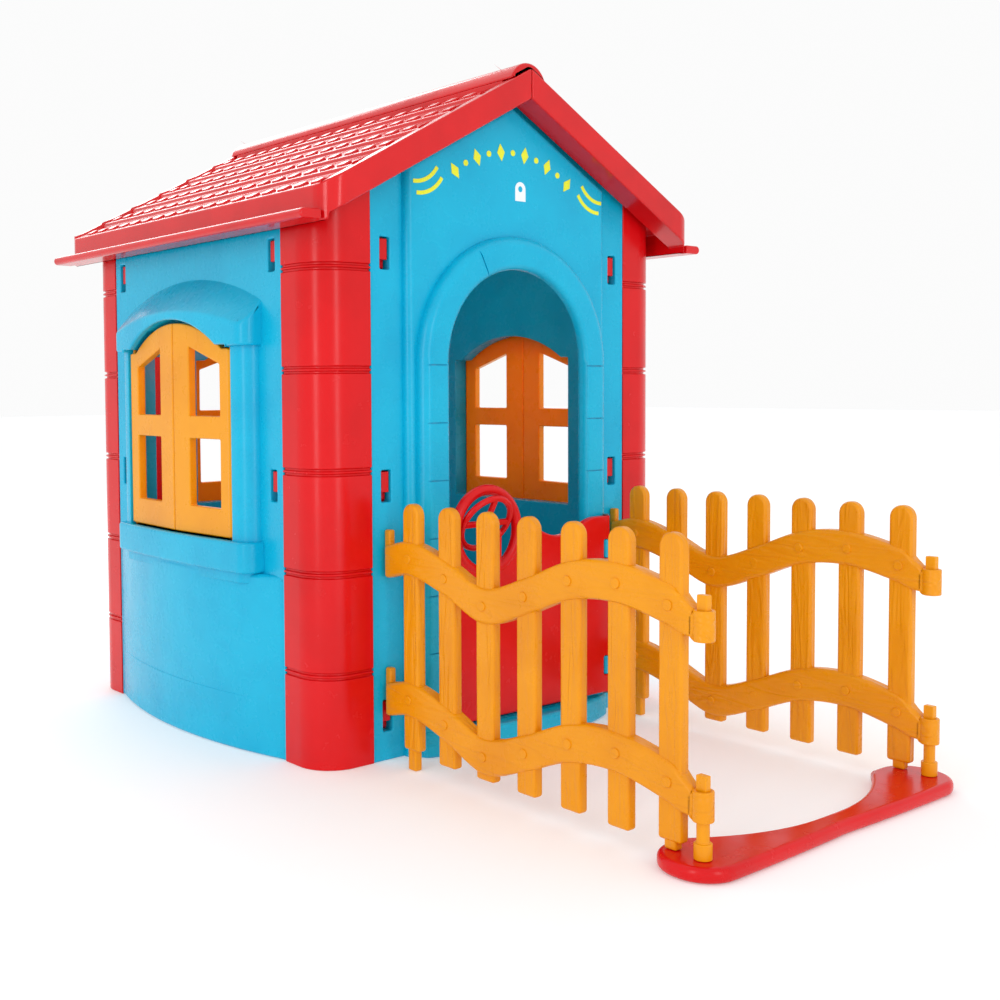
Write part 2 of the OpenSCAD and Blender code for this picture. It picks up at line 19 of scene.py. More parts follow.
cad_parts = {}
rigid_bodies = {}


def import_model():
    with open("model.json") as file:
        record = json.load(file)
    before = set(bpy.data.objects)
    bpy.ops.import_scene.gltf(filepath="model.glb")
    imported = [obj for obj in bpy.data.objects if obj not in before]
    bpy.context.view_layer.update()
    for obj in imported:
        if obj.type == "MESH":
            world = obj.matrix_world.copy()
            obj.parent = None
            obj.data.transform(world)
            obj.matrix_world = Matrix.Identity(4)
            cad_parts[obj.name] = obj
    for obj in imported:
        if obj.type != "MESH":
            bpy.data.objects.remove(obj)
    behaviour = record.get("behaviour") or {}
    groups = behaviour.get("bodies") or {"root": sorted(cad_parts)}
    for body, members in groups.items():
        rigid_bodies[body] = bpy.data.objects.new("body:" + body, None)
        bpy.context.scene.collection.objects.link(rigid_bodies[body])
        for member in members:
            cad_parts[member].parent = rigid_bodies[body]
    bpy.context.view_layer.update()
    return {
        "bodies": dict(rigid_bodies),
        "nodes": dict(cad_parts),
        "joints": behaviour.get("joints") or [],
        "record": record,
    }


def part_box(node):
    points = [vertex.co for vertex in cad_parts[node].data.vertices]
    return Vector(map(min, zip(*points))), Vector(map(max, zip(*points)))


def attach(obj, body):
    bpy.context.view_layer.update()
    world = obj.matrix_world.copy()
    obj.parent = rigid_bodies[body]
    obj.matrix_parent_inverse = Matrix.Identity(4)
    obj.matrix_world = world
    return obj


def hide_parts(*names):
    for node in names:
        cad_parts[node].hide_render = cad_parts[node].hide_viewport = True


LOG = logging.getLogger("playhouse")
MM = 0.001
Point = tuple[float, float, float]


def linear(hex_colour: str) -> tuple[float, float, float, float]:
    """Turns an sRGB hex colour to linear light.

    Args:
        hex_colour: Six hex digits, with or without a leading hash.

    Returns:
        Linear red, green and blue, and an alpha of one.
    """
    digits = hex_colour.lstrip("#")
    parts = [int(digits[i : i + 2], 16) / 255 for i in (0, 2, 4)]
    made = [c / 12.92 if c <= 0.04045 else ((c + 0.055) / 1.055) ** 2.4 for c in parts]
    return (made[0], made[1], made[2], 1.0)


def add_node(
    tree: bpy.types.NodeTree,
    kind: str,
    settings: dict[str, object] | None = None,
    values: dict[str, object] | None = None,
    links: dict[str, bpy.types.NodeSocket] | None = None,
) -> bpy.types.Node:
    """Adds one node to a material.

    Args:
        tree: The node tree that gets the node.
        kind: Blender's name for the type of node.
        settings: Properties of the node itself.
        values: Values for its inputs, by the input's name or number.
        links: Output sockets to join to its inputs, by the input's name or number.

    Returns:
        The new node.
    """
    node = tree.nodes.new(kind)
    for name, value in (settings or {}).items():
        setattr(node, name, value)
    for name, value in (values or {}).items():
        node.inputs[name].default_value = value
    for name, socket in (links or {}).items():
        tree.links.new(socket, node.inputs[name])
    return node


# ---------------------------------------------------------------- finishes


class Relief(Enum):
    """How the mould's surface was worked."""

    SMOOTH = "smooth"
    GRAIN_UP = "carved wood grain along Z"
    GRAIN_ALONG = "carved wood grain along Y"


@dataclass(frozen=True)
class MouldedPlastic:
    """Blow-moulded polyethylene with a slightly waxy gloss.

    The colour goes right through, so scuffs only dull it. The walls of the
    mould leave a slow ripple that makes highlights waver.
    """

    name: str
    colour: str
    deep: str
    slot: str
    roughness: float = 0.3
    shine: float = 0.5
    ripple_mm: float = 55.0
    ripple: float = 0.05
    relief: Relief = Relief.SMOOTH

    def material(self) -> bpy.types.Material:
        """Returns the material, made at its first use."""
        known = bpy.data.materials.get(self.name)
        return known if known else self._make()

    def _make(self) -> bpy.types.Material:
        """Builds the node tree.

        Returns:
            The finished material.
        """
        made = bpy.data.materials.new(self.name)
        made.use_nodes = True
        made.diffuse_color = linear(self.colour)
        tree = made.node_tree
        tree.nodes.clear()
        out = add_node(tree, "ShaderNodeOutputMaterial")
        where = add_node(tree, "ShaderNodeTexCoord").outputs["Object"]
        cloud = add_node(
            tree,
            "ShaderNodeTexNoise",
            values={"Scale": 1.0 / (140 * MM), "Detail": 3.0, "Roughness": 0.55},
            links={"Vector": where},
        )
        tint = add_node(
            tree,
            "ShaderNodeMix",
            {"data_type": "RGBA"},
            {6: linear(self.colour), 7: linear(self.deep)},
            {0: self._faded(tree, cloud.outputs["Fac"], 0.42, 0.72)},
        )
        # handling dulls the gloss in soft patches a few centimetres wide
        scuff = add_node(
            tree,
            "ShaderNodeTexNoise",
            values={"Scale": 1.0 / (38 * MM), "Detail": 5.0, "Roughness": 0.6},
            links={"Vector": where},
        )
        gloss = add_node(
            tree,
            "ShaderNodeMapRange",
            values={1: 0.3, 2: 0.75, 3: self.roughness - 0.04, 4: self.roughness + 0.07},
            links={0: scuff.outputs["Fac"]},
        )
        ripple = add_node(
            tree,
            "ShaderNodeTexNoise",
            values={"Scale": 1.0 / (self.ripple_mm * MM), "Detail": 1.0, "Roughness": 0.4},
            links={"Vector": where},
        )
        normal = add_node(
            tree,
            "ShaderNodeBump",
            values={"Strength": self.ripple, "Distance": 3.0 * MM},
            links={"Height": ripple.outputs["Fac"]},
        ).outputs["Normal"]
        if self.relief is not Relief.SMOOTH:
            normal = self._carved(tree, where, normal)
        shader = add_node(
            tree,
            "ShaderNodeBsdfPrincipled",
            values={"IOR": 1.45, "Specular IOR Level": self.shine},
            links={
                "Base Color": tint.outputs[2],
                "Roughness": gloss.outputs[0],
                "Normal": normal,
            },
        )
        tree.links.new(shader.outputs[0], out.inputs["Surface"])
        return made

    @staticmethod
    def _faded(
        tree: bpy.types.NodeTree, factor: bpy.types.NodeSocket, low: float, high: float
    ) -> bpy.types.NodeSocket:
        """Stretches a factor between two levels.

        Args:
            tree: The material's node tree.
            factor: The output to stretch.
            low: The level that becomes zero.
            high: The level that becomes one.

        Returns:
            The stretched output.
        """
        return add_node(
            tree, "ShaderNodeMapRange", values={1: low, 2: high}, links={0: factor}
        ).outputs[0]

    def _carved(
        self, tree: bpy.types.NodeTree, where: bpy.types.NodeSocket, normal: bpy.types.NodeSocket
    ) -> bpy.types.NodeSocket:
        """Adds the shallow wood grain that is cut into the mould.

        Args:
            tree: The material's node tree.
            where: Object coordinates.
            normal: The normal to build on.

        Returns:
            The carved normal.
        """
        long_way = 0.12
        scale = (1.0, 1.0, long_way) if self.relief is Relief.GRAIN_UP else (1.0, long_way, 1.0)
        squeezed = add_node(
            tree, "ShaderNodeMapping", values={"Scale": scale}, links={"Vector": where}
        )
        knots = add_node(
            tree,
            "ShaderNodeTexNoise",
            values={"Scale": 1.0 / (26 * MM), "Detail": 2.0, "Distortion": 0.6},
            links={"Vector": squeezed.outputs[0]},
        )
        rings = add_node(
            tree,
            "ShaderNodeMath",
            {"operation": "MULTIPLY"},
            {1: 26.0},
            {0: knots.outputs["Fac"]},
        )
        lines = add_node(
            tree, "ShaderNodeMath", {"operation": "SINE"}, links={0: rings.outputs[0]}
        )
        return add_node(
            tree,
            "ShaderNodeBump",
            values={"Strength": 0.36, "Distance": 1.3 * MM},
            links={"Height": lines.outputs[0], "Normal": normal},
        ).outputs["Normal"]


WALL_BLUE = MouldedPlastic("polyethylene_sky_blue", "#08b1d6", "#04a7ce", "wall_blue", 0.26, 0.34)
POST_RED = MouldedPlastic("polyethylene_red", "#d60810", "#ca060c", "post_red", 0.23, 0.34)
ROOF_RED = MouldedPlastic("polyethylene_roof_red", "#d40911", "#c4060d", "roof_red", 0.16)
SHUTTER_YELLOW = MouldedPlastic(
    "polyethylene_yellow", "#eb9a03", "#e39002", "shutter_yellow", 0.28, 0.34
)
PICKET_YELLOW = MouldedPlastic(
    "polyethylene_yellow_grain_up",
    "#e89605",
    "#df8b03",
    "fence_yellow",
    0.28,
    0.34,
    relief=Relief.GRAIN_UP,
)
RAIL_YELLOW = MouldedPlastic(
    "polyethylene_yellow_grain_along",
    "#e89605",
    "#df8b03",
    "fence_yellow",
    0.28,
    0.34,
    relief=Relief.GRAIN_ALONG,
)
PIN_YELLOW = MouldedPlastic(
    "polyethylene_yellow_pins", "#ea9a06", "#e29004", "fence_yellow", 0.26, 0.34
)
PIN_GREY = MouldedPlastic("acetal_grey", "#55565a", "#4a4b4f", "pin_grey", 0.38)
PRINT_YELLOW = MouldedPlastic("printed_vinyl_lemon", "#e9ee2f", "#dfe528", "shutter_yellow", 0.22)
PRINT_WHITE = MouldedPlastic("printed_vinyl_white", "#eef4f8", "#e4edf3", "shutter_yellow", 0.22)


# ---------------------------------------------------------------- bench tools


class Bench:
    """The operators every piece is made with."""

    @staticmethod
    def clear() -> None:
        """Leaves edit mode and deselects everything."""
        if bpy.context.object and bpy.context.object.mode != "OBJECT":
            bpy.ops.object.mode_set(mode="OBJECT")
        bpy.ops.object.select_all(action="DESELECT")

    @staticmethod
    def only(piece: bpy.types.Object) -> None:
        """Makes one piece the only selected and the active one."""
        Bench.clear()
        piece.select_set(True)
        bpy.context.view_layer.objects.active = piece

    @staticmethod
    def edit(piece: bpy.types.Object, how: Callable[[], None], mode: str = "FACE") -> None:
        """Runs operators on one piece in edit mode with all of it selected.

        Args:
            piece: The piece to work on.
            how: A function that calls the operators.
            mode: VERT, EDGE or FACE.
        """
        Bench.only(piece)
        bpy.ops.object.mode_set(mode="EDIT")
        bpy.ops.mesh.select_mode(type=mode)
        bpy.ops.mesh.select_all(action="SELECT")
        how()
        bpy.ops.object.mode_set(mode="OBJECT")

    @staticmethod
    def pick_edges(piece: bpy.types.Object, wanted: Callable[[Vector, Vector], bool]) -> int:
        """Selects only the edges whose two ends pass a test.

        Args:
            piece: The piece, in object mode.
            wanted: A test of an edge's two end points.

        Returns:
            How many edges are selected.
        """
        Bench.only(piece)
        bpy.ops.object.mode_set(mode="EDIT")
        bpy.ops.mesh.select_mode(type="EDGE")
        bpy.ops.mesh.select_all(action="DESELECT")
        bpy.ops.object.mode_set(mode="OBJECT")
        mesh, found = piece.data, 0
        for edge in mesh.edges:
            a, b = (mesh.vertices[i].co for i in edge.vertices)
            if wanted(a, b):
                edge.select = True
                found += 1
        return found

    @staticmethod
    def sharp_pairs(piece: bpy.types.Object, least: float = 30.0) -> set[tuple[int, int]]:
        """Finds the edges where two faces meet at more than an angle.

        Args:
            piece: The piece to read.
            least: The smallest angle that counts as sharp, in degrees.

        Returns:
            Pairs of vertex numbers, smaller first.
        """
        seen: dict[tuple[int, int], list[Vector]] = {}
        for face in piece.data.polygons:
            for key in face.edge_keys:
                seen.setdefault(tuple(sorted(key)), []).append(face.normal)
        limit = math.radians(least)
        return {
            key
            for key, sides in seen.items()
            if len(sides) == 2 and sides[0].angle(sides[1], 0.0) > limit
        }

    @staticmethod
    def round_over(
        piece: bpy.types.Object,
        radius: float,
        wanted: Callable[[Vector, Vector], bool],
        segments: int = 5,
    ) -> None:
        """Rounds chosen sharp edges by their own radius.

        Args:
            piece: The piece to work on.
            radius: Radius in metres.
            wanted: A test of an edge's two end points.
            segments: Facets across the round.
        """
        sharp = Bench.sharp_pairs(piece)
        mesh = piece.data
        place = {tuple(v.co): v.index for v in mesh.vertices}

        def both(a: Vector, b: Vector) -> bool:
            """Tests an edge for sharpness and for place."""
            key = tuple(sorted((place[tuple(a)], place[tuple(b)])))
            return key in sharp and wanted(a, b)

        if Bench.pick_edges(piece, both):
            bpy.ops.object.mode_set(mode="EDIT")
            bpy.ops.mesh.bevel(
                offset=radius, segments=segments, affect="EDGES", clamp_overlap=False
            )
            bpy.ops.object.mode_set(mode="OBJECT")

    @staticmethod
    def modifier(piece: bpy.types.Object, kind: str, **settings: object) -> None:
        """Adds one modifier and applies it.

        Args:
            piece: The piece to change.
            kind: Blender's name for the type of modifier.
            **settings: The modifier's settings.
        """
        Bench.only(piece)
        tool = piece.modifiers.new(kind.title(), kind)
        for name, value in settings.items():
            setattr(tool, name, value)
        bpy.ops.object.modifier_apply(modifier=tool.name)

    @staticmethod
    def soften(
        piece: bpy.types.Object, radius: float, segments: int = 3, least: float = 32
    ) -> None:
        """Rounds every sharp edge that is left and shades the piece smooth.

        Args:
            piece: The piece to finish.
            radius: Radius in metres.
            segments: Facets across each round.
            least: The smallest angle that is rounded, in degrees.
        """
        Bench.modifier(
            piece,
            "BEVEL",
            width=radius,
            segments=segments,
            limit_method="ANGLE",
            angle_limit=math.radians(least),
            use_clamp_overlap=False,
            miter_outer="MITER_ARC",
        )
        Bench.shade(piece)

    @staticmethod
    def shade(piece: bpy.types.Object) -> None:
        """Shades a piece smooth, with flat faces kept flat."""
        Bench.only(piece)
        bpy.ops.object.shade_smooth_by_angle(angle=math.radians(40))
        Bench.modifier(piece, "WEIGHTED_NORMAL", keep_sharp=True, weight=80)

    @staticmethod
    def settle(piece: bpy.types.Object) -> bpy.types.Object:
        """Moves a piece's place, turn and size into its mesh.

        Args:
            piece: The piece to settle.

        Returns:
            The same piece.
        """
        Bench.only(piece)
        bpy.ops.object.transform_apply(location=True, rotation=True, scale=True)
        return piece

    @staticmethod
    def copy(piece: bpy.types.Object, where: Matrix) -> bpy.types.Object:
        """Copies a settled piece with its own mesh.

        Args:
            piece: The piece to copy.
            where: The move, turn or mirror of the copy.

        Returns:
            The copy.
        """
        Bench.only(piece)
        bpy.ops.object.duplicate()
        made = bpy.context.active_object
        made.matrix_world = where
        Bench.settle(made)
        if where.determinant() < 0:
            Bench.edit(made, lambda: bpy.ops.mesh.normals_make_consistent(inside=False))
        return made

    @staticmethod
    def join(pieces: Sequence[bpy.types.Object], name: str) -> bpy.types.Object:
        """Joins pieces into one object.

        Args:
            pieces: The pieces; the first one is kept.
            name: The name of the joined piece.

        Returns:
            The joined piece.
        """
        Bench.clear()
        for piece in pieces:
            piece.select_set(True)
        bpy.context.view_layer.objects.active = pieces[0]
        if len(pieces) > 1:
            bpy.ops.object.join()
        made = bpy.context.active_object
        made.name = name
        made.data.name = name
        return made

    @staticmethod
    def box(low: Point, high: Point, name: str = "block") -> bpy.types.Object:
        """Adds a block between two corners, given in metres.

        Args:
            low: The lowest corner.
            high: The highest corner.
            name: The name of the block.

        Returns:
            The settled block.
        """
        Bench.clear()
        centre = [(a + b) / 2 for a, b in zip(low, high)]
        bpy.ops.mesh.primitive_cube_add(size=1.0, location=centre)
        made = bpy.context.active_object
        made.name = name
        made.scale = [b - a for a, b in zip(low, high)]
        return Bench.settle(made)

    @staticmethod
    def rod(radius: float, low: Point, tall: float, facets: int = 40) -> bpy.types.Object:
        """Adds an upright rod.

        Args:
            radius: Its radius in metres.
            low: The middle of its lower end.
            tall: Its height in metres.
            facets: Facets round it.

        Returns:
            The settled rod.
        """
        Bench.clear()
        x, y, z = low
        bpy.ops.mesh.primitive_cylinder_add(
            vertices=facets, radius=radius, depth=tall, location=(x, y, z + tall / 2)
        )
        return Bench.settle(bpy.context.active_object)

    @staticmethod
    def strip(
        width: Vector, height: Vector, path: Sequence[Vector], name: str = "strip"
    ) -> bpy.types.Object:
        """Extrudes a rectangle step by step along a path.

        Args:
            width: One side of the rectangle.
            height: The other side of the rectangle.
            path: Points that the rectangle's middle goes through.
            name: The name of the strip.

        Returns:
            The closed strip.
        """
        Bench.clear()
        bpy.ops.mesh.primitive_plane_add(size=1.0, location=(0, 0, 0))
        made = bpy.context.active_object
        made.name = name
        turn = Matrix((width, height, width.cross(height).normalized())).transposed().to_4x4()
        made.matrix_world = Matrix.Translation(path[0]) @ turn
        Bench.settle(made)

        def draw() -> None:
            """Extrudes the rectangle along the path."""
            for a, b in zip(path, path[1:]):
                bpy.ops.mesh.extrude_region_move(TRANSFORM_OT_translate={"value": tuple(b - a)})
            bpy.ops.mesh.select_all(action="SELECT")
            bpy.ops.mesh.normals_make_consistent(inside=False)

        Bench.edit(made, draw)
        return made


def dress(piece: bpy.types.Object, finish: MouldedPlastic) -> None:
    """Gives a piece one finish all over.

    Args:
        piece: The piece to dress.
        finish: The finish it gets.
    """
    piece.data.materials.clear()
    piece.data.materials.append(finish.material())


@dataclass
class Piece:
    """A visible piece that stands for one CAD node."""

    frame: dict
    node: str
    finish: MouldedPlastic
    radius: float = 4 * MM
    segments: int = 3

    def body(self) -> str:
        """Returns the body that the node belongs to."""
        bodies = self.frame["record"]["behaviour"]["bodies"]
        return next(name for name, nodes in bodies.items() if self.node in nodes)

    def taken_over(self) -> bpy.types.Object:
        """Copies the CAD node and merges its loose triangles into clean faces.

        Returns:
            The new piece, not yet rounded.
        """
        source = self.frame["nodes"][self.node]
        piece = bpy.data.objects.new(f"{self.node}_skin", source.data.copy())
        bpy.context.scene.collection.objects.link(piece)
        Bench.only(piece)
        bpy.ops.mesh.customdata_custom_splitnormals_clear()

        def tidy() -> None:
            """Merges doubles and clears the lines across flat faces."""
            bpy.ops.mesh.remove_doubles(threshold=0.00002)
            bpy.ops.mesh.dissolve_limited(angle_limit=math.radians(0.4))

        Bench.edit(piece, tidy, "VERT")
        return piece

    def shaped(self, piece: bpy.types.Object) -> None:
        """Shapes the piece further; a plain piece needs nothing."""

    def make(self) -> None:
        """Builds, rounds, dresses and places the piece."""
        piece = self.taken_over()
        self.shaped(piece)
        Bench.soften(piece, self.radius, self.segments)
        dress(piece, self.finish)
        self.place(piece)

    def place(self, piece: bpy.types.Object) -> None:
        """Rides the piece on its body and hides the CAD node behind it."""
        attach(piece, self.body())
        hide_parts(self.node)
        LOG.info("%s: %d faces", piece.name, len(piece.data.polygons))


# ---------------------------------------------------------------- outlines


class Plane(Enum):
    """The plane that an outline is drawn in, and the axis it gets its thickness along."""

    XZ = (0, 2, 1)
    XY = (0, 1, 2)
    YZ = (1, 2, 0)


def bow_radius(half: float, rise: float) -> float:
    """Returns the radius of a circle that rises by rise over a chord of 2 * half."""
    return (half * half + rise * rise) / (2 * rise)


def bow_points(
    half: float, base: float, rise: float, steps: int = 24
) -> list[tuple[float, float]]:
    """Gives the points of a bow from its +half end to its -half end.

    Args:
        half: Half of the chord.
        base: The second coordinate of the chord.
        rise: How far the middle rises over the chord; negative bows the other way.
        steps: Facets along the bow.

    Returns:
        Points of the bow, ends included.
    """
    radius = bow_radius(half, abs(rise))
    reach = math.asin(min(1.0, half / radius))
    sign = 1.0 if rise >= 0 else -1.0
    made = []
    for i in range(steps + 1):
        angle = reach - 2 * reach * i / steps
        lift = radius * math.cos(angle) - radius + abs(rise)
        made.append((radius * math.sin(angle), base + sign * lift))
    return made


def turn_points(
    centre: tuple[float, float], radius: float, start: float, end: float, steps: int
) -> list[tuple[float, float]]:
    """Gives points on a circle between two angles in degrees."""
    made = []
    for i in range(steps + 1):
        angle = math.radians(start + (end - start) * i / steps)
        made.append((centre[0] + radius * math.cos(angle), centre[1] + radius * math.sin(angle)))
    return made


def slab(
    outline: Sequence[tuple[float, float]],
    low: float,
    high: float,
    plane: Plane,
    name: str = "slab",
) -> bpy.types.Object:
    """Places a filled circle's corners on an outline and extrudes it.

    Args:
        outline: The corners in order, in metres.
        low: Where the thickness starts.
        high: Where the thickness ends.
        plane: The plane of the outline.
        name: The name of the slab.

    Returns:
        The closed slab.
    """
    Bench.clear()
    bpy.ops.mesh.primitive_circle_add(vertices=len(outline), radius=1.0, fill_type="NGON")
    made = bpy.context.active_object
    made.name = name
    first, second, third = plane.value
    for corner, point in zip(made.data.vertices, outline):
        place = [0.0, 0.0, 0.0]
        place[first], place[second], place[third] = point[0], point[1], low
        corner.co = place
    push = [0.0, 0.0, 0.0]
    push[third] = high - low

    def thicken() -> None:
        """Extrudes the filled outline and turns its faces outwards."""
        bpy.ops.mesh.extrude_region_move(TRANSFORM_OT_translate={"value": push})
        bpy.ops.mesh.select_all(action="SELECT")
        bpy.ops.mesh.normals_make_consistent(inside=False)

    Bench.edit(made, thicken)
    return made


def carve(
    piece: bpy.types.Object, tools: Iterable[bpy.types.Object], how: str = "DIFFERENCE"
) -> None:
    """Cuts tools out of a piece, or keeps only what is inside them.

    Args:
        piece: The piece to cut.
        tools: The cutting shapes, which are used up.
        how: DIFFERENCE or INTERSECT.
    """
    for tool in tools:
        Bench.modifier(piece, "BOOLEAN", operation=how, solver="EXACT", object=tool)
        bpy.data.objects.remove(tool)


# ---------------------------------------------------------------- walls


@dataclass
class WallPlan:
    """Sizes that every wall shares, in metres."""

    half: float = 0.342
    face: float = 0.460
    thick: float = 0.024
    side_top: float = 1.036
    gable_corner: float = 1.1085
    gable_peak: float = 1.2925
    slot_x: float = 0.308
    slot_z: tuple[float, float, float] = (0.085, 0.5175, 0.950)
    slot_size: tuple[float, float] = (0.023, 0.060)

    def panel(self, gable: bool) -> bpy.types.Object:
        """Makes a flat panel with its six lock slots.

        Args:
            gable: Whether the panel runs up into the gable.

        Returns:
            The panel, facing -Y.
        """
        top = (
            [
                (self.half, self.gable_corner),
                (0.0, self.gable_peak),
                (-self.half, self.gable_corner),
            ]
            if gable
            else [(self.half, self.side_top), (-self.half, self.side_top)]
        )
        outline = [(-self.half, 0.0), (self.half, 0.0), *top]
        panel = slab(outline, -self.face, -self.face + self.thick, Plane.XZ, "panel")
        wide, tall = self.slot_size[0] / 2, self.slot_size[1] / 2
        carve(
            panel,
            [
                Bench.box(
                    (side * self.slot_x - wide, -self.face - 0.05, z - tall),
                    (side * self.slot_x + wide, -self.face + 0.05, z + tall),
                )
                for side in (-1, 1)
                for z in self.slot_z
            ],
        )
        return panel


@dataclass
class WindowWall:
    """A wall with a bowed lower half, a window bay, a hood and a window sill."""

    frame: dict
    house_y: float
    plan: WallPlan = field(default_factory=WallPlan)
    bay_half: float = 0.262
    bay_round: float = 0.037
    bay_front: float = 0.4955
    bay_rise: float = 0.0117
    proud: float = 0.011
    sill_low: float = 0.348
    window_low: float = 0.411
    window_ear: float = 0.779
    window_top: float = 0.835
    window_half: float = 0.212
    ear: float = 0.032
    bay_top: float = 0.825
    proud_round: float = 0.030
    hood_low: float = 0.783
    hood_spring: float = 0.873
    hood_rise: float = 0.055
    hood_front: float = -0.519
    hood_fall: float = 0.072

    def window(self, grow: float, top: float) -> list[tuple[float, float]]:
        """Gives the outline of the window.

        Args:
            grow: How far it grows at the sides and the bottom.
            top: How far it grows at the top.

        Returns:
            Corners in X and Z.
        """
        half, flat = self.window_half + grow, self.window_half - self.ear
        rise = self.window_top - self.window_ear
        arch = bow_points(flat, self.window_ear + top, rise, 20)
        return [
            (-half, self.window_low - grow),
            (half, self.window_low - grow),
            (half, self.window_ear + top),
            *arch,
            (-half, self.window_ear + top),
        ]

    def bay_plan(self, extra: float, corner: float) -> list[tuple[float, float]]:
        """Gives the bay's outline seen from above.

        Args:
            extra: How far it stands out past the bay on every side.
            corner: Radius of its two front corners.

        Returns:
            Corners in X and Y.
        """
        half = self.bay_half + extra
        front = -self.bay_front - extra
        flat = half - corner
        bow = [(x, y) for x, y in bow_points(flat, front, -self.bay_rise, 20)]
        right = turn_points((flat, front + corner), corner, 0, -90, 8)
        left = turn_points((-flat, front + corner), corner, -90, -180, 8)
        back = -self.plan.face + 0.004
        return [(half, back), *right[:-1], *bow, *left[1:], (-half, back)]

    def recess(self, back: float) -> bpy.types.Object:
        """Makes the tool that cuts the room for the shutters, as deep as asked."""
        return slab(self.window(0.003, 0.007), -0.62, back, Plane.XZ)

    def opening(self) -> bpy.types.Object:
        """Makes the tool that cuts right through behind the shutters."""
        return slab(self.window(-0.008, -0.008), -0.62, -0.40, Plane.XZ)

    def lower_bow(self) -> list[bpy.types.Object]:
        """Makes the bowed lower half and its slightly wider foot."""
        made, out = [], -self.plan.face - 0.0005
        for top, rise, soft in ((self.sill_low, 0.050, 0.010), (0.108, 0.0515, 0.0012)):
            half = self.plan.half - 0.001
            points = bow_points(half, -self.plan.face + 0.001, -rise, 48)
            outline = [(half, -self.plan.face + 0.004), *points, (-half, -self.plan.face + 0.004)]
            part = slab(outline, 0.0, top, Plane.XY, "lower_bow")
            Bench.round_over(
                part, soft, lambda a, b, t=top: min(a.z, b.z) > t - 1e-4 and min(a.y, b.y) < out, 4
            )
            Bench.round_over(
                part, 0.006, lambda a, b: max(a.z, b.z) < 1e-4 and min(a.y, b.y) < out, 3
            )
            made.append(part)
        return made

    def bay(self) -> bpy.types.Object:
        """Makes the bay behind the shutters."""
        outline = self.bay_plan(0.0, self.bay_round)
        part = slab(outline, self.sill_low - 0.02, self.bay_top, Plane.XY, "bay")
        carve(part, [self.recess(-0.474), self.opening()])
        Bench.soften(part, 0.0025, 2, 50)
        return part

    def window_sill(self) -> bpy.types.Object:
        """Makes the deep band under the window."""
        outline = self.bay_plan(self.proud, self.proud_round)
        part = slab(outline, self.sill_low, self.window_low - 0.003, Plane.XY, "sill")
        carve(part, [self.opening()])
        Bench.soften(part, 0.006, 4, 50)
        return part

    def hood(self) -> bpy.types.Object:
        """Makes the arched hood, whose top slopes back to the wall."""
        half = self.bay_half + self.proud
        arch = bow_points(half, self.hood_spring, self.hood_rise, 28)
        outline = [(-half, self.hood_low), (half, self.hood_low), *arch]
        part = slab(outline, self.hood_front, -self.plan.face + 0.004, Plane.XZ, "hood")
        Bench.only(part)

        def slope() -> None:
            """Lowers the top of the front face."""
            bpy.ops.mesh.select_all(action="DESELECT")
            bpy.ops.object.mode_set(mode="OBJECT")
            for corner in part.data.vertices:
                front = corner.co.y < self.hood_front + 0.009
                corner.select = front and corner.co.z > self.hood_low + 0.017
            bpy.ops.object.mode_set(mode="EDIT")
            bpy.ops.transform.translate(value=(0.0, 0.0, -self.hood_fall))

        Bench.edit(part, slope, "VERT")
        reach = slab(self.bay_plan(self.proud, self.proud_round), 0.70, 1.0, Plane.XY)
        carve(part, [reach], "INTERSECT")
        carve(part, [self.recess(-0.40)])
        Bench.soften(part, 0.005, 4, 38)
        return part

    def build(self) -> None:
        """Makes the three window walls from one set of shapes."""
        shared = [*self.lower_bow(), self.bay(), self.window_sill(), self.hood()]
        front = Bench.join(shared, "window_front")
        for node, angle, gable in (
            ("left_wall", -90, False),
            ("right_wall", 90, False),
            ("back_wall", 180, True),
        ):
            panel = self.plan.panel(gable)
            carve(panel, [self.opening()])
            Bench.soften(panel, 0.003, 3, 50)
            whole = Bench.join([panel, Bench.copy(front, Matrix.Identity(4))], f"{node}_skin")
            whole.matrix_world = Matrix.Translation((0, self.house_y, 0)) @ Matrix.Rotation(
                math.radians(angle), 4, "Z"
            )
            Bench.settle(whole)
            Bench.shade(whole)
            dress(whole, WALL_BLUE)
            Piece(self.frame, node, WALL_BLUE).place(whole)
        bpy.data.objects.remove(front)


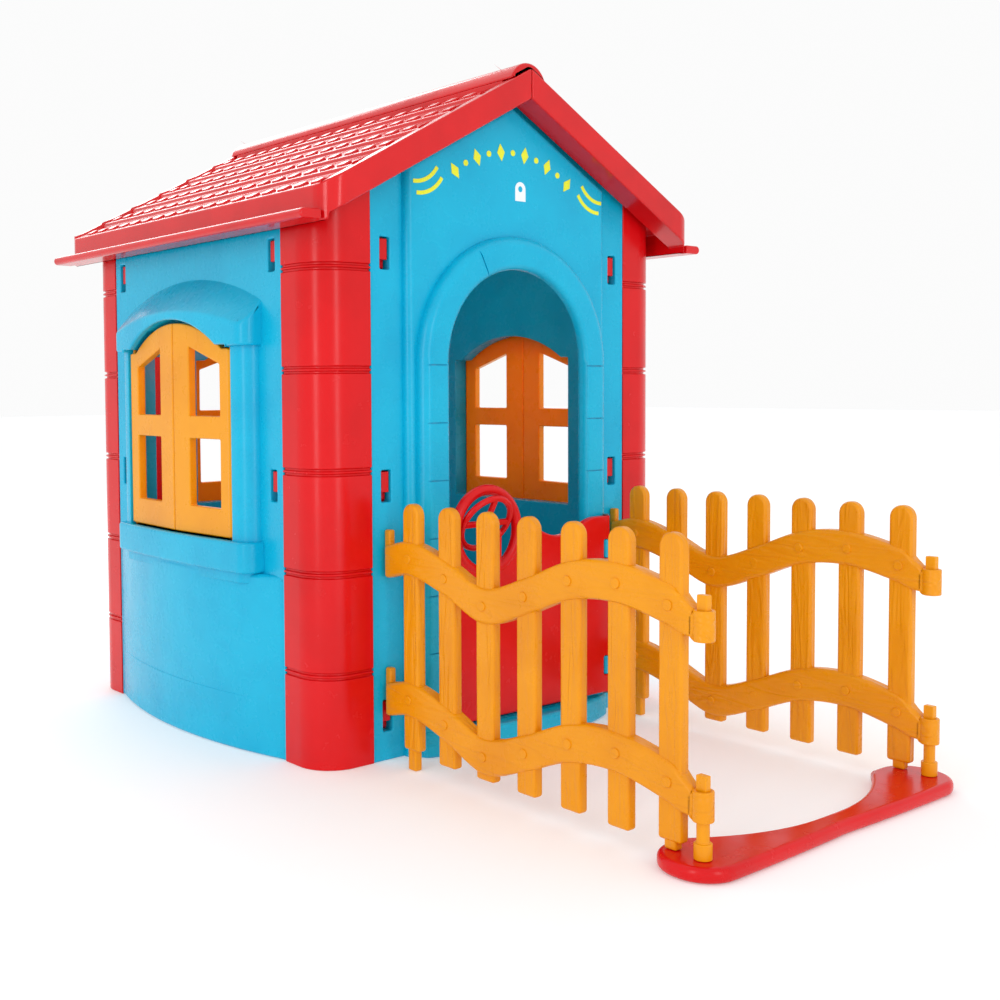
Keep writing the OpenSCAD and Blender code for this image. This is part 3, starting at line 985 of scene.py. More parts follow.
@dataclass
class FrontWall:
    """The wall with the arched doorway, its stone surround and the doorstep."""

    frame: dict
    house_y: float
    plan: WallPlan = field(default_factory=WallPlan)
    door_half: float = 0.184
    arch_z: float = 0.748
    band: float = 0.066
    front: float = 0.503
    step_top: float = 0.050
    step_bow: float = 0.052
    joints: tuple[float, ...] = (0.198, 0.307, 0.416, 0.525, 0.634, 0.743)
    joint_half: float = 0.0013
    joint_deep: float = 0.0035
    joint_turn: float = -27.0
    lip: float = 0.019
    wider_behind: float = 0.044
    hinge: tuple[float, float] = (0.231, -0.514)
    lug_r: float = 0.008
    lug_root: float = -0.502
    lug_spans: tuple[tuple[float, float], ...] = ((0.096, 0.134), (0.342, 0.380))

    def arch(self, half: float, low: float) -> list[tuple[float, float]]:
        """Gives the outline of an arched opening."""
        return [(-half, low), (half, low), *turn_points((0.0, self.arch_z), half, 0, 180, 48)]

    def opening(self, grow: float = 0.0) -> bpy.types.Object:
        """Makes the tool that cuts the doorway."""
        return slab(self.arch(self.door_half + grow, self.step_top), -0.7, -0.3, Plane.XZ)

    def panel(self) -> bpy.types.Object:
        """Makes the flat panel with its doorway."""
        panel = self.plan.panel(True)
        carve(panel, [self.opening(self.wider_behind)])
        Bench.soften(panel, 0.003, 3, 50)
        return panel

    def raised(self) -> bpy.types.Object:
        """Makes the raised panel round the doorway and up into the gable."""
        half = self.door_half + self.band + 0.018
        fall = (self.plan.gable_peak - self.plan.gable_corner) / self.plan.half
        outline = [
            (-half, 0.0),
            (half, 0.0),
            (half, self.plan.gable_peak - fall * half - 0.034),
            (0.0, self.plan.gable_peak - 0.034),
            (-half, self.plan.gable_peak - fall * half - 0.034),
        ]
        front = -self.plan.face - 0.018
        part = slab(outline, front, -self.plan.face + 0.002, Plane.XZ, "raised")
        Bench.round_over(
            part, 0.015, lambda a, b: max(a.y, b.y) < front + 0.001 and max(a.z, b.z) > 0.01, 6
        )
        carve(part, [self.opening(self.wider_behind)])
        Bench.shade(part)
        return part

    def surround(self) -> bpy.types.Object:
        """Makes the rounded stone surround with the joints between its stones."""
        outer, inner = self.door_half + self.band, self.door_half
        outline = [
            *turn_points((0.0, self.arch_z), outer, 180, 0, 64),
            (outer, 0.0),
            (-outer, 0.0),
        ]
        part = slab(outline, -self.front, -self.plan.face, Plane.XZ, "surround")
        carve(part, [self.opening()])
        front, middle = -self.front + 1e-4, inner + self.band / 2

        def outer_rim(a: Vector, b: Vector) -> bool:
            """Tests for the front edge along the outside of the stones."""
            if max(a.y, b.y) > front or max(a.z, b.z) < self.step_top + 0.001:
                return False
            return all(math.hypot(p.x, max(p.z - self.arch_z, 0.0)) > middle for p in (a, b))

        def inner_rim(a: Vector, b: Vector) -> bool:
            """Tests for the front edge along the doorway."""
            if max(a.y, b.y) > front or max(a.z, b.z) < self.step_top + 0.001:
                return False
            return all(math.hypot(p.x, max(p.z - self.arch_z, 0.0)) < middle for p in (a, b))

        Bench.round_over(part, 0.021, outer_rim, 6)
        Bench.round_over(part, 0.013, inner_rim, 5)
        wider = self.arch(inner + self.wider_behind - 0.002, self.step_top)
        carve(part, [slab(wider, -self.front + self.lip, -0.40, Plane.XZ)])
        cuts = []
        ahead, deep = -self.front - 0.01, -self.front + self.joint_deep
        for side in (-1, 1):
            for z in self.joints:
                low_x, high_x = sorted((side * (inner - 0.01), side * (outer + 0.01)))
                cuts.append(
                    Bench.box(
                        (low_x, ahead, z - self.joint_half), (high_x, deep, z + self.joint_half)
                    )
                )
        wedge = Bench.box((-0.0014, ahead, inner - 0.01), (0.0014, deep, outer + 0.01))
        wedge.matrix_world = Matrix.Translation((0, 0, self.arch_z)) @ Matrix.Rotation(
            math.radians(self.joint_turn), 4, "Y"
        )
        cuts.append(Bench.settle(wedge))
        carve(part, cuts)
        Bench.shade(part)
        return part

    def doorstep(self) -> bpy.types.Object:
        """Makes the bowed doorstep."""
        half = self.door_half + self.band
        outline = [
            (half, -self.front + 0.02),
            *bow_points(half, -self.front + 0.001, -self.step_bow - 0.001, 32),
            (-half, -self.front + 0.02),
        ]
        part = slab(outline, 0.0, self.step_top, Plane.XY, "doorstep")
        Bench.soften(part, 0.009, 5, 40)
        return part

    def lugs(self) -> list[bpy.types.Object]:
        """Makes the two hinge lugs of the half door."""
        made = []
        for low, high in self.lug_spans:
            outline = [
                (self.hinge[0] - self.lug_r, self.lug_root),
                *turn_points(self.hinge, self.lug_r, 180, 360, 14),
                (self.hinge[0] + self.lug_r, self.lug_root),
            ]
            part = slab(outline, low, high, Plane.XY, "lug")
            Bench.soften(part, 0.001, 2, 50)
            made.append(part)
        return made

    def build(self) -> None:
        """Makes the wall."""
        parts = [self.panel(), self.raised(), self.surround(), self.doorstep(), *self.lugs()]
        whole = Bench.join(parts, "front_wall_skin")
        whole.matrix_world = Matrix.Translation((0, self.house_y, 0))
        Bench.settle(whole)
        dress(whole, WALL_BLUE)
        Piece(self.frame, "front_wall", WALL_BLUE).place(whole)


@dataclass
class GablePrint:
    """The printed motif on the gable: a row of lozenges and dots, and curved stripes."""

    house_y: float
    face: float = 0.478
    lift: float = 0.0008

    def printed(self, outline: Sequence[tuple[float, float]]) -> bpy.types.Object:
        """Makes one thin printed shape from its outline in X and Z."""
        return slab(outline, -self.face - self.lift, -self.face + 0.0005, Plane.XZ)

    def stripe(self, points: Sequence[tuple[float, float]], wide: float) -> bpy.types.Object:
        """Makes one curved stripe through points in X and Z.

        Args:
            points: The middle line of the stripe.
            wide: Its width.

        Returns:
            The stripe.
        """
        upper, lower = [], []
        for i, point in enumerate(points):
            a, b = points[max(i - 1, 0)], points[min(i + 1, len(points) - 1)]
            run = Vector((b[0] - a[0], b[1] - a[1])).normalized()
            side = Vector((-run.y, run.x)) * (wide / 2)
            upper.append((point[0] + side.x, point[1] + side.y))
            lower.append((point[0] - side.x, point[1] - side.y))
        return self.printed([*upper, *reversed(lower)])

    def stripes(self) -> list[bpy.types.Object]:
        """Makes the two pairs of curved stripes."""
        made = []
        for side in (-1, 1):
            for shift in (0.0, 1.0):
                middle = (side * (0.252 - 0.008 * shift), 1.151 - 0.017 * shift)
                radius = 0.066 + 0.004 * shift
                start, end = (268, 328) if side < 0 else (272, 212)
                made.append(self.stripe(turn_points(middle, radius, start, end, 12), 0.0075))
        return made

    def motif(self) -> list[bpy.types.Object]:
        """Makes the row of lozenges and dots over the doorway."""
        made = []
        centre, radius, count, spread = (0.0, 0.905), 0.258, 11, 72
        for i in range(count):
            angle = math.radians(90 + spread * (0.5 - i / (count - 1)))
            x, z = centre[0] + radius * math.cos(angle), centre[1] + radius * math.sin(angle)
            out = Vector((math.cos(angle), math.sin(angle)))
            side = Vector((-out.y, out.x))
            tall, wide = (0.017, 0.010) if i % 2 == 0 else (0.006, 0.006)
            steps = 4 if i % 2 == 0 else 16
            corners = []
            for k in range(steps):
                turn = 2 * math.pi * k / steps
                spot = Vector((x, z)) + out * (tall * math.cos(turn))
                spot += side * (wide * math.sin(turn))
                corners.append((spot.x, spot.y))
            made.append(self.printed(corners))
        return made

    def plaque(self) -> bpy.types.Object:
        """Makes the small white arched plaque with a round window."""
        outline = [(0.006, 1.070), (0.034, 1.070), *turn_points((0.020, 1.094), 0.014, 0, 180, 16)]
        part = self.printed(outline)
        carve(part, [slab(turn_points((0.020, 1.094), 0.006, 0, 350, 17), -0.6, -0.4, Plane.XZ)])
        return part

    def build(self) -> None:
        """Makes the yellow print and the white plaque."""
        for parts, finish, name in (
            ([*self.stripes(), *self.motif()], PRINT_YELLOW, "gable_print"),
            ([self.plaque()], PRINT_WHITE, "gable_plaque"),
        ):
            piece = Bench.join(parts, name)
            piece.matrix_world = Matrix.Translation((0, self.house_y, 0))
            Bench.settle(piece)
            dress(piece, finish)
            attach(piece, "house")


# ---------------------------------------------------------------- roof


ROOF_APEX = 1.318
ROOF_EAVE = (0.489, 1.055)
ROOF_SLOPE = (ROOF_APEX - ROOF_EAVE[1]) / ROOF_EAVE[0]


@dataclass
class RoofHalf(Piece):
    """One slope of the roof, with the knobs on its rows of tiles."""

    house_y: float = 0.0
    side: int = -1
    first: float = 0.034
    rows: int = 6
    pitch: float = 0.054
    half: float = 0.498
    set_back: float = 0.019

    def knob(self) -> bpy.types.Object:
        """Makes one rounded knob at the origin."""
        knob = Bench.box((-0.012, -0.013, -0.008), (0.009, 0.013, 0.0040), "tile_knob")
        Bench.soften(knob, 0.0035, 3, 30)
        return knob

    def make(self) -> None:
        """Builds the slope with its rows of knobs."""
        piece = self.taken_over()
        Bench.soften(piece, self.radius, self.segments)
        knob = self.knob()
        lean = Matrix.Rotation(self.side * math.atan(ROOF_SLOPE), 4, "Y")
        parts = [piece]
        for row in range(1, self.rows + 1):
            x = self.first + (ROOF_EAVE[0] - self.first) * row / self.rows - self.set_back
            z = ROOF_APEX - ROOF_SLOPE * x - 0.001
            count = int(2 * self.half / self.pitch)
            for i in range(count):
                y = -self.half + self.pitch * (i + 0.35 + 0.5 * (row % 2))
                if y > self.half - 0.02:
                    continue
                where = Matrix.Translation((self.side * x, y + self.house_y, z - 0.002)) @ lean
                if self.side < 0:
                    where = where @ Matrix.Rotation(math.pi, 4, "Z")
                parts.append(Bench.copy(knob, where))
        bpy.data.objects.remove(knob)
        whole = Bench.join(parts, f"{self.node}_skin")
        dress(whole, self.finish)
        self.place(whole)


@dataclass
class RidgeCap(Piece):
    """The rounded cap over the ridge, with a thin skirt down to the tiles."""

    house_y: float = 0.0
    half: float = 0.526

    def make(self) -> None:
        """Builds the cap and its skirts."""
        cap = self.taken_over()
        Bench.soften(cap, self.radius, self.segments)
        parts = [cap]
        for side in (-1, 1):
            edge = [
                (side * x, ROOF_APEX - ROOF_SLOPE * x + up)
                for x, up in ((0.031, 0.001), (0.0450, 0.001), (0.0450, -0.0088), (0.031, -0.0088))
            ]
            reach = self.half - 0.030
            skirt = slab(edge, self.house_y - reach, self.house_y + reach, Plane.XZ, "skirt")
            Bench.soften(skirt, 0.0015, 2)
            parts.append(skirt)
        whole = Bench.join(parts, f"{self.node}_skin")
        dress(whole, self.finish)
        self.place(whole)


# ---------------------------------------------------------------- shutters


@dataclass
class Shutters:
    """The six shutter leaves, each with two panes and a hinge edge."""

    frame: dict
    house_y: float
    half: float = 0.212
    low: float = 0.411
    ear: float = 0.779
    top: float = 0.835
    ear_wide: float = 0.032
    thick: float = 0.018
    lean: float = 2.8
    face: float = 0.494
    pane_in: float = 0.060
    pane_out: float = 0.172
    knuckle: float = 0.0096
    end_gap: float = 0.002
    peg_r: float = 0.004
    peg_tall: float = 0.015
    peg_sunk: float = 0.003

    def leaf(self) -> bpy.types.Object:
        """Makes the left leaf of a window that faces -Y."""
        axis_x = -self.half + self.thick / 2
        axis_y = -self.face + self.thick / 2
        flat = self.half - self.ear_wide
        arch = [p for p in bow_points(flat, self.ear, self.top - self.ear, 28) if p[0] < -0.0006]
        crown = self.top - 0.00001
        outline = [
            (axis_x, self.low),
            (-0.0006, self.low),
            (-0.0006, crown),
            *arch,
            (axis_x, self.ear),
        ]
        leaf = slab(outline, -self.thick / 2, self.thick / 2, Plane.XZ, "leaf")
        wide = (-self.pane_out, -self.pane_in)
        lower = Bench.box((wide[0], -0.05, self.low + 0.055), (wide[1], 0.05, self.low + 0.191))
        upper = slab(
            [
                (wide[0], self.low + 0.236),
                (wide[1], self.low + 0.236),
                (wide[1], self.top - 0.049),
                (wide[0], self.ear - 0.031),
            ],
            -0.05,
            0.05,
            Plane.XZ,
        )
        carve(leaf, [lower, upper])
        Bench.soften(leaf, 0.0032, 4, 50)
        leaf.matrix_world = (
            Matrix.Translation((axis_x, axis_y, 0))
            @ Matrix.Rotation(math.radians(-self.lean), 4, "Z")
            @ Matrix.Translation((-axis_x, 0, 0))
        )
        Bench.settle(leaf)
        tall = self.ear - self.low - 2 * self.end_gap
        edge = Bench.rod(self.knuckle, (axis_x, axis_y, self.low + self.end_gap), tall)
        Bench.soften(edge, 0.002, 3, 50)
        parts = [leaf, edge]
        for z in (self.low - self.peg_tall + self.peg_sunk, self.ear - self.peg_sunk):
            peg = Bench.rod(self.peg_r, (axis_x, axis_y, z), self.peg_tall, 24)
            Bench.soften(peg, 0.0008, 2, 50)
            parts.append(peg)
        return Bench.join(parts, "leaf")

    def build(self) -> None:
        """Makes the leaf once and copies it, plain or mirrored, to its six places."""
        leaf = self.leaf()
        for node, angle, side in (
            ("left_shutter_back", -90, -1),
            ("left_shutter_front", -90, 1),
            ("right_shutter_front", 90, -1),
            ("right_shutter_back", 90, 1),
            ("back_shutter_right", 180, -1),
            ("back_shutter_left", 180, 1),
        ):
            turn = Matrix.Rotation(math.radians(angle), 4, "Z")
            where = Matrix.Translation((0, self.house_y, 0)) @ turn
            if side > 0:
                where = where @ Matrix.Scale(-1, 4, (1, 0, 0))
            skin = Bench.copy(leaf, where)
            skin.name = f"{node}_skin"
            Bench.shade(skin)
            dress(skin, SHUTTER_YELLOW)
            Piece(self.frame, node, SHUTTER_YELLOW).place(skin)
        bpy.data.objects.remove(leaf)


# ---------------------------------------------------------------- steering wheel


@dataclass
class SteeringWheel:
    """The toy steering wheel: rim, three spokes, hub and centre cap."""

    frame: dict
    house_y: float
    centre: Point = (-0.106, -0.512, 0.437)
    tilt: float = 30.0
    radius: float = 0.058
    rim: float = 0.006
    hub: float = 0.013
    hub_tall: float = 0.014
    axle: float = 0.005

    def where(self) -> Matrix:
        """Returns the place and turn of the wheel."""
        x, y, z = self.centre
        return Matrix.Translation((x, y + self.house_y, z)) @ Matrix.Rotation(
            math.radians(self.tilt - 90), 4, "X"
        )

    def drum(self, radius: float, low: float, high: float, soft: float) -> bpy.types.Object:
        """Makes a round block on the wheel's axis."""
        drum = Bench.rod(radius, (0, 0, low), high - low, 48)
        Bench.soften(drum, soft, 4, 50)
        return drum

    def build(self) -> None:
        """Makes the wheel and its cap."""
        Bench.clear()
        bpy.ops.mesh.primitive_torus_add(
            major_segments=96, minor_segments=24, major_radius=self.radius, minor_radius=self.rim
        )
        parts = [Bench.settle(bpy.context.active_object)]
        for angle in (0, 180, 270):
            start, end = self.hub - 0.002, self.radius - 0.002
            spoke = Bench.box((start, -0.006, -0.004), (end, 0.006, 0.004))
            Bench.soften(spoke, 0.0025, 4)
            spoke.matrix_world = Matrix.Rotation(math.radians(angle), 4, "Z")
            parts.append(Bench.settle(spoke))
        hub = self.drum(self.hub, -self.hub_tall / 2, self.hub_tall / 2, 0.003)
        carve(hub, [Bench.rod(self.axle + 0.00006, (0, 0, -0.025), 0.05, 32)])
        Bench.shade(hub)
        parts.append(hub)
        wheel = Bench.join(parts, "steering_wheel_skin")
        Bench.shade(wheel)
        cap = self.drum(0.010, self.hub_tall / 2 + 0.0004, self.hub_tall / 2 + 0.0054, 0.002)
        cap.name = "steering_cap_skin"
        for node, piece, finish in (
            ("steering_wheel", wheel, POST_RED),
            ("steering_cap", cap, POST_RED),
        ):
            piece.matrix_world = self.where()
            Bench.settle(piece)
            dress(piece, finish)
            Piece(self.frame, node, finish).place(piece)


# ---------------------------------------------------------------- half door


@dataclass
class HalfDoor:
    """The half door with its round porthole rim and the arm for the wheel."""

    frame: dict
    house_y: float
    wheel: SteeringWheel
    axis_x: float = 0.231
    middle_y: float = -0.514
    thick: float = 0.016
    low: float = 0.058
    left: float = -0.193
    hole: tuple[float, float] = (-0.106, 0.423)
    hole_r: float = 0.0795
    rim: float = 0.0105
    lugs: tuple[tuple[float, float], ...] = ((0.095, 0.135), (0.341, 0.381))

    def edge(self, x: float) -> float:
        """Returns the height of the wavy top edge at a place along the door."""
        if x < 0.085:
            return 0.400 + 0.020 * (1 - math.cos(math.pi * min(0.085 - x, 0.125) / 0.125))
        return 0.400 + 0.015 * (1 - math.cos(math.pi * min(x - 0.085, 0.115) / 0.115))

    def board(self) -> bpy.types.Object:
        """Makes the flat board with its porthole and the gaps for the lugs."""
        start = -0.024
        wave = [start + (self.axis_x - start) * i / 40 for i in range(41)]
        outline = [
            (self.axis_x, self.low),
            (self.left, self.low),
            (self.left, 0.383),
            *turn_points(self.hole, self.hole_r, 204.7, 14, 48),
            *((x, self.edge(x)) for x in wave),
        ]
        front, back = self.middle_y - self.thick / 2, self.middle_y + self.thick / 2
        board = slab(outline, front, back, Plane.XZ, "door_board")
        gaps = [
            Bench.box(
                (self.axis_x - 0.012, front - 0.01, low),
                (self.axis_x + 0.02, back + 0.01, high),
            )
            for low, high in self.lugs
        ]
        porthole = turn_points(self.hole, self.hole_r - 0.0085, 0, 354, 59)
        carve(board, [*gaps, slab(porthole, front - 0.01, back + 0.01, Plane.XZ)])
        Bench.soften(board, 0.0035, 4, 50)
        return board

    def ring(self) -> bpy.types.Object:
        """Makes the round rim of the porthole."""
        Bench.clear()
        bpy.ops.mesh.primitive_torus_add(
            major_segments=112, minor_segments=28, major_radius=self.hole_r, minor_radius=self.rim
        )
        ring = bpy.context.active_object
        ring.matrix_world = Matrix.Translation(
            (self.hole[0], self.middle_y, self.hole[1])
        ) @ Matrix.Rotation(math.pi / 2, 4, "X")
        Bench.settle(ring)
        Bench.shade(ring)
        return ring

    def barrels(self) -> list[bpy.types.Object]:
        """Makes the three rounded hinge barrels between the lugs."""
        stops = [self.low, *(z for pair in self.lugs for z in pair), self.edge(self.axis_x)]
        made = []
        for low, high in zip(stops[0::2], stops[1::2]):
            barrel = Bench.rod(self.thick / 2, (self.axis_x, self.middle_y, low), high - low)
            Bench.soften(barrel, 0.0015, 3, 50)
            made.append(barrel)
        return made

    def arm(self) -> list[bpy.types.Object]:
        """Makes the arm in front of the porthole and the boss on it."""
        front = self.middle_y - self.thick / 2
        foot = self.hole[1] - self.hole_r - 0.044
        wheel_z = self.wheel.centre[2]
        outline = [
            (front + 0.004, foot),
            (front - 0.008, foot),
            (front - 0.022, foot + 0.026),
            (front - 0.024, wheel_z - 0.016),
            (front - 0.014, wheel_z - 0.004),
            (front - 0.003, wheel_z - 0.014),
            (front - 0.004, foot + 0.044),
            (front + 0.004, foot + 0.044),
        ]
        x = self.hole[0]
        arm = slab(outline, x - 0.012, x + 0.012, Plane.YZ, "arm")
        under = -self.wheel.hub_tall / 2 - 0.0004
        turn = Matrix.Translation((0, -self.house_y, 0)) @ self.wheel.where()
        reach = Bench.box((-0.06, -0.2, -0.4), (0.06, 0.2, under))
        reach.matrix_world = turn
        carve(arm, [Bench.settle(reach)], "INTERSECT")
        Bench.soften(arm, 0.0035, 4, 25)
        boss = self.wheel.drum(self.wheel.hub - 0.001, under - 0.0196, under, 0.0015)
        boss.matrix_world = turn
        return [arm, Bench.settle(boss)]

    def build(self) -> None:
        """Makes the door."""
        whole = Bench.join([self.board(), self.ring(), *self.barrels(), *self.arm()], "door_skin")
        whole.matrix_world = Matrix.Translation((0, self.house_y, 0))
        Bench.settle(whole)
        dress(whole, POST_RED)
        Piece(self.frame, "door", POST_RED).place(whole)


# ---------------------------------------------------------------- corner posts


@dataclass
class CornerPost(Piece):
    """A corner post that runs up to the roof, with stepped lock tabs."""

    house_y: float = 0.0
    x_side: int = 1
    y_side: int = 1
    slot_x: float = 0.308
    face: float = 0.455
    slot_z: tuple[float, float, float] = (0.085, 0.5175, 0.950)
    tab: tuple[float, float] = (0.011, 0.012)
    top: float = 1.036

    def shaped(self, piece: bpy.types.Object) -> None:
        """Raises the top to the roof's slope and cuts back the foot of each tab."""
        for corner in piece.data.vertices:
            if corner.co.z > self.top - 0.001:
                corner.co.z = ROOF_APEX - ROOF_SLOPE * abs(corner.co.x) - 0.0268
        tools = []
        for z in self.slot_z:
            low, high = z - 0.0285, z - 0.012
            slot, face = (self.slot_x, self.tab[0]), (self.face, self.tab[1])
            for a, b in ((slot, face), (face, slot)):
                xs = sorted(self.x_side * (a[0] + way * a[1]) for way in (-1, 1))
                ys = sorted(self.y_side * (b[0] + way * b[1]) + self.house_y for way in (-1, 1))
                tools.append(Bench.box((xs[0], ys[0], low), (xs[1], ys[1], high)))
        carve(piece, tools)


# ---------------------------------------------------------------- the house


class Playhouse:
    """The house, its roof, its windows and its half door."""

    def __init__(self, frame: dict, house_y: float) -> None:
        """Keeps the frame and the place of the house."""
        self.frame = frame
        self.house_y = house_y

    def build(self) -> None:
        """Makes every piece of the house in order."""
        frame = self.frame
        FrontWall(frame, self.house_y).build()
        WindowWall(frame, self.house_y).build()
        GablePrint(self.house_y).build()
        for post, x_side, y_side in (
            ("front_left", -1, -1),
            ("front_right", 1, -1),
            ("back_left", -1, 1),
            ("back_right", 1, 1),
        ):
            CornerPost(
                frame,
                f"post_{post}",
                POST_RED,
                1.8 * MM,
                house_y=self.house_y,
                x_side=x_side,
                y_side=y_side,
            ).make()
        for side, sign in (("left", -1), ("right", 1)):
            RoofHalf(
                frame, f"roof_{side}", ROOF_RED, 4 * MM, house_y=self.house_y, side=sign
            ).make()
        RidgeCap(frame, "ridge_cap", ROOF_RED, 5 * MM, house_y=self.house_y).make()
        wheel = SteeringWheel(frame, self.house_y)
        wheel.build()
        HalfDoor(frame, self.house_y, wheel).build()
        Piece(frame, "steering_axle", PIN_GREY, 0.5 * MM).make()
        for pin in ("door_pin_upper", "door_pin_lower"):
            Piece(frame, pin, PIN_GREY, 0.6 * MM).make()
        Shutters(frame, self.house_y).build()


# ---------------------------------------------------------------- yard


@dataclass
class Fence:
    """One fence panel: pickets, two wavy rails, hooks, socket rings and bolt heads."""

    frame: dict
    house_y: float
    side: str
    sign: int
    x: float = 0.308
    wall: float = 0.460
    first: float = 0.540
    pitch: float = 0.100
    count: int = 7
    passed: int = 4  # the picket that the open half door's arm swings past
    gate: float = 1.194
    ring: Point = (0.016, 0.0098, 0.045)
    rail: tuple[float, float] = (0.030, 0.062)
    drop: float = 0.259
    picket: tuple[float, float] = (0.044, 0.020)
    top: float = 0.490
    low: float = 0.029
    heights: tuple[float, ...] = (0.378, 0.390, 0.365, 0.330, 0.359, 0.397, 0.405, 0.385, 0.361)

    def rail_z(self, n: float) -> float:
        """Returns the height of the upper rail, n pickets along from the wall."""
        rows = self.heights
        i = min(int(math.floor(n)), len(rows) - 2)
        t = n - i
        p0, p1, p2, p3 = rows[max(i - 1, 0)], rows[i], rows[i + 1], rows[min(i + 2, len(rows) - 1)]
        return 0.5 * (
            2 * p1
            + (p2 - p0) * t
            + (2 * p0 - 5 * p1 + 4 * p2 - p3) * t * t
            + (3 * p1 - p0 - 3 * p2 + p3) * t**3
        )

    def rail_y(self, n: float) -> float:
        """Returns the place of point n along the fence, from the house centre."""
        last = self.first + (self.count - 1) * self.pitch
        if n < 1:
            return self.wall + 0.008 + n * (self.first - self.wall - 0.008)
        if n > self.count:
            return last + (n - self.count) * (self.gate - last)
        return self.first + (n - 1) * self.pitch

    def make_picket(self, low: float) -> bpy.types.Object:
        """Makes one picket with a round top at the origin of Y.

        Args:
            low: The height of its bottom.

        Returns:
            The rounded picket.
        """
        half = self.picket[0] / 2
        crown = turn_points((0.0, self.top - half), half, 0, 180, 20)
        outline = [(-half, low), (half, low), *crown]
        part = slab(outline, -self.picket[1] / 2, self.picket[1] / 2, Plane.YZ, "picket")
        Bench.soften(part, 0.0055, 4, 50)
        return part

    def pickets(self) -> list[bpy.types.Object]:
        """Makes the row of pickets; the end ones are shorter and stand on pegs."""
        plain, short = self.make_picket(self.low), self.make_picket(self.low + 0.008)
        made = []
        for n in range(1, self.count + 1):
            end = n in (1, self.count)
            spot = Matrix.Translation((0, -self.rail_y(n), 0))
            made.append(Bench.copy(short if end else plain, spot))
            if end:
                foot = 0.0 if n == 1 else 0.0245
                peg = Bench.box((-0.008, -0.011, foot), (0.008, 0.011, self.low + 0.016), "peg")
                Bench.soften(peg, 0.003, 3)
                made.append(Bench.copy(peg, spot))
                bpy.data.objects.remove(peg)
        bpy.data.objects.remove(plain)
        bpy.data.objects.remove(short)
        return made

    def make_rail(self, drop: float) -> bpy.types.Object:
        """Makes one wavy rail.

        Args:
            drop: How far it lies under the upper rail's heights.

        Returns:
            The rounded rail.
        """
        steps = 6 * (self.count + 1)
        points = [i / 6 for i in range(steps + 1)]
        path = [Vector((0, -self.rail_y(n), self.rail_z(n) - drop)) for n in points]
        path[-1].y += 0.012
        thick, tall = self.rail
        rail = Bench.strip(Vector((thick, 0, 0)), Vector((0, 0, tall)), path, "rail")
        end = path[-1]
        for corner in rail.data.vertices:
            near = 1 - min(1.0, (corner.co.y - end.y) / 0.030)
            corner.co.z = end.z + (corner.co.z - end.z) * (1 - 0.34 * near)
            corner.co.x *= 1 - 0.15 * near
        Bench.soften(rail, 0.0075, 4, 50)
        return rail

    def fittings(self, drop: float) -> list[bpy.types.Object]:
        """Makes the hook at the wall and the socket ring at the gate end."""
        base = self.rail_z(0) - drop
        hook = Bench.box(
            (-0.007, -self.wall - 0.017, base - 0.030),
            (0.007, -self.wall - 0.0005, base + 0.059),
        )
        Bench.soften(hook, 0.004, 4)
        z = self.rail_z(self.count + 1) - drop
        outer, inner, tall = self.ring
        ring = Bench.rod(outer, (0, -self.gate, z - tall / 2), tall)
        carve(ring, [Bench.rod(inner, (0, -self.gate, z - tall), 2 * tall, 32)])
        Bench.soften(ring, 0.002, 3, 50)
        return [hook, ring]

    def bolt(self) -> bpy.types.Object:
        """Makes one low domed bolt head on the YZ plane."""
        Bench.clear()
        bpy.ops.mesh.primitive_cylinder_add(
            vertices=20, radius=0.0085, depth=0.004, rotation=(0, math.pi / 2, 0)
        )
        head = Bench.settle(bpy.context.active_object)
        Bench.soften(head, 0.0018, 4, 50)
        return head

    def bolts(self) -> list[bpy.types.Object]:
        """Makes a bolt head where each picket crosses a rail, on both faces.

        The heads that the open half door passes lie lower.
        """
        head, made = self.bolt(), []
        for n in range(1, self.count + 1):
            for drop in (0.0, self.drop):
                for face in (-1, 1):
                    swept = n == self.passed and face * self.sign < 0
                    proud = -0.0014 if swept else 0.0006
                    out = face * (self.rail[0] / 2 + proud)
                    spot = (out, -self.rail_y(n), self.rail_z(n) - drop)
                    made.append(Bench.copy(head, Matrix.Translation(spot)))
        bpy.data.objects.remove(head)
        return made

    def build(self) -> None:
        """Makes the whole fence panel."""
        upright = Bench.join(self.pickets(), "pickets")
        dress(upright, PICKET_YELLOW)
        along = [self.make_rail(0.0), self.make_rail(self.drop)]
        for drop in (0.0, self.drop):
            along.extend(self.fittings(drop))
        along.extend(self.bolts())
        rails = Bench.join(along, "rails")
        dress(rails, RAIL_YELLOW)
        whole = Bench.join([upright, rails], f"fence_{self.side}_skin")
        whole.matrix_world = Matrix.Translation((self.sign * self.x, self.house_y, 0))
        Bench.settle(whole)
        Piece(self.frame, f"fence_{self.side}", PICKET_YELLOW).place(whole)


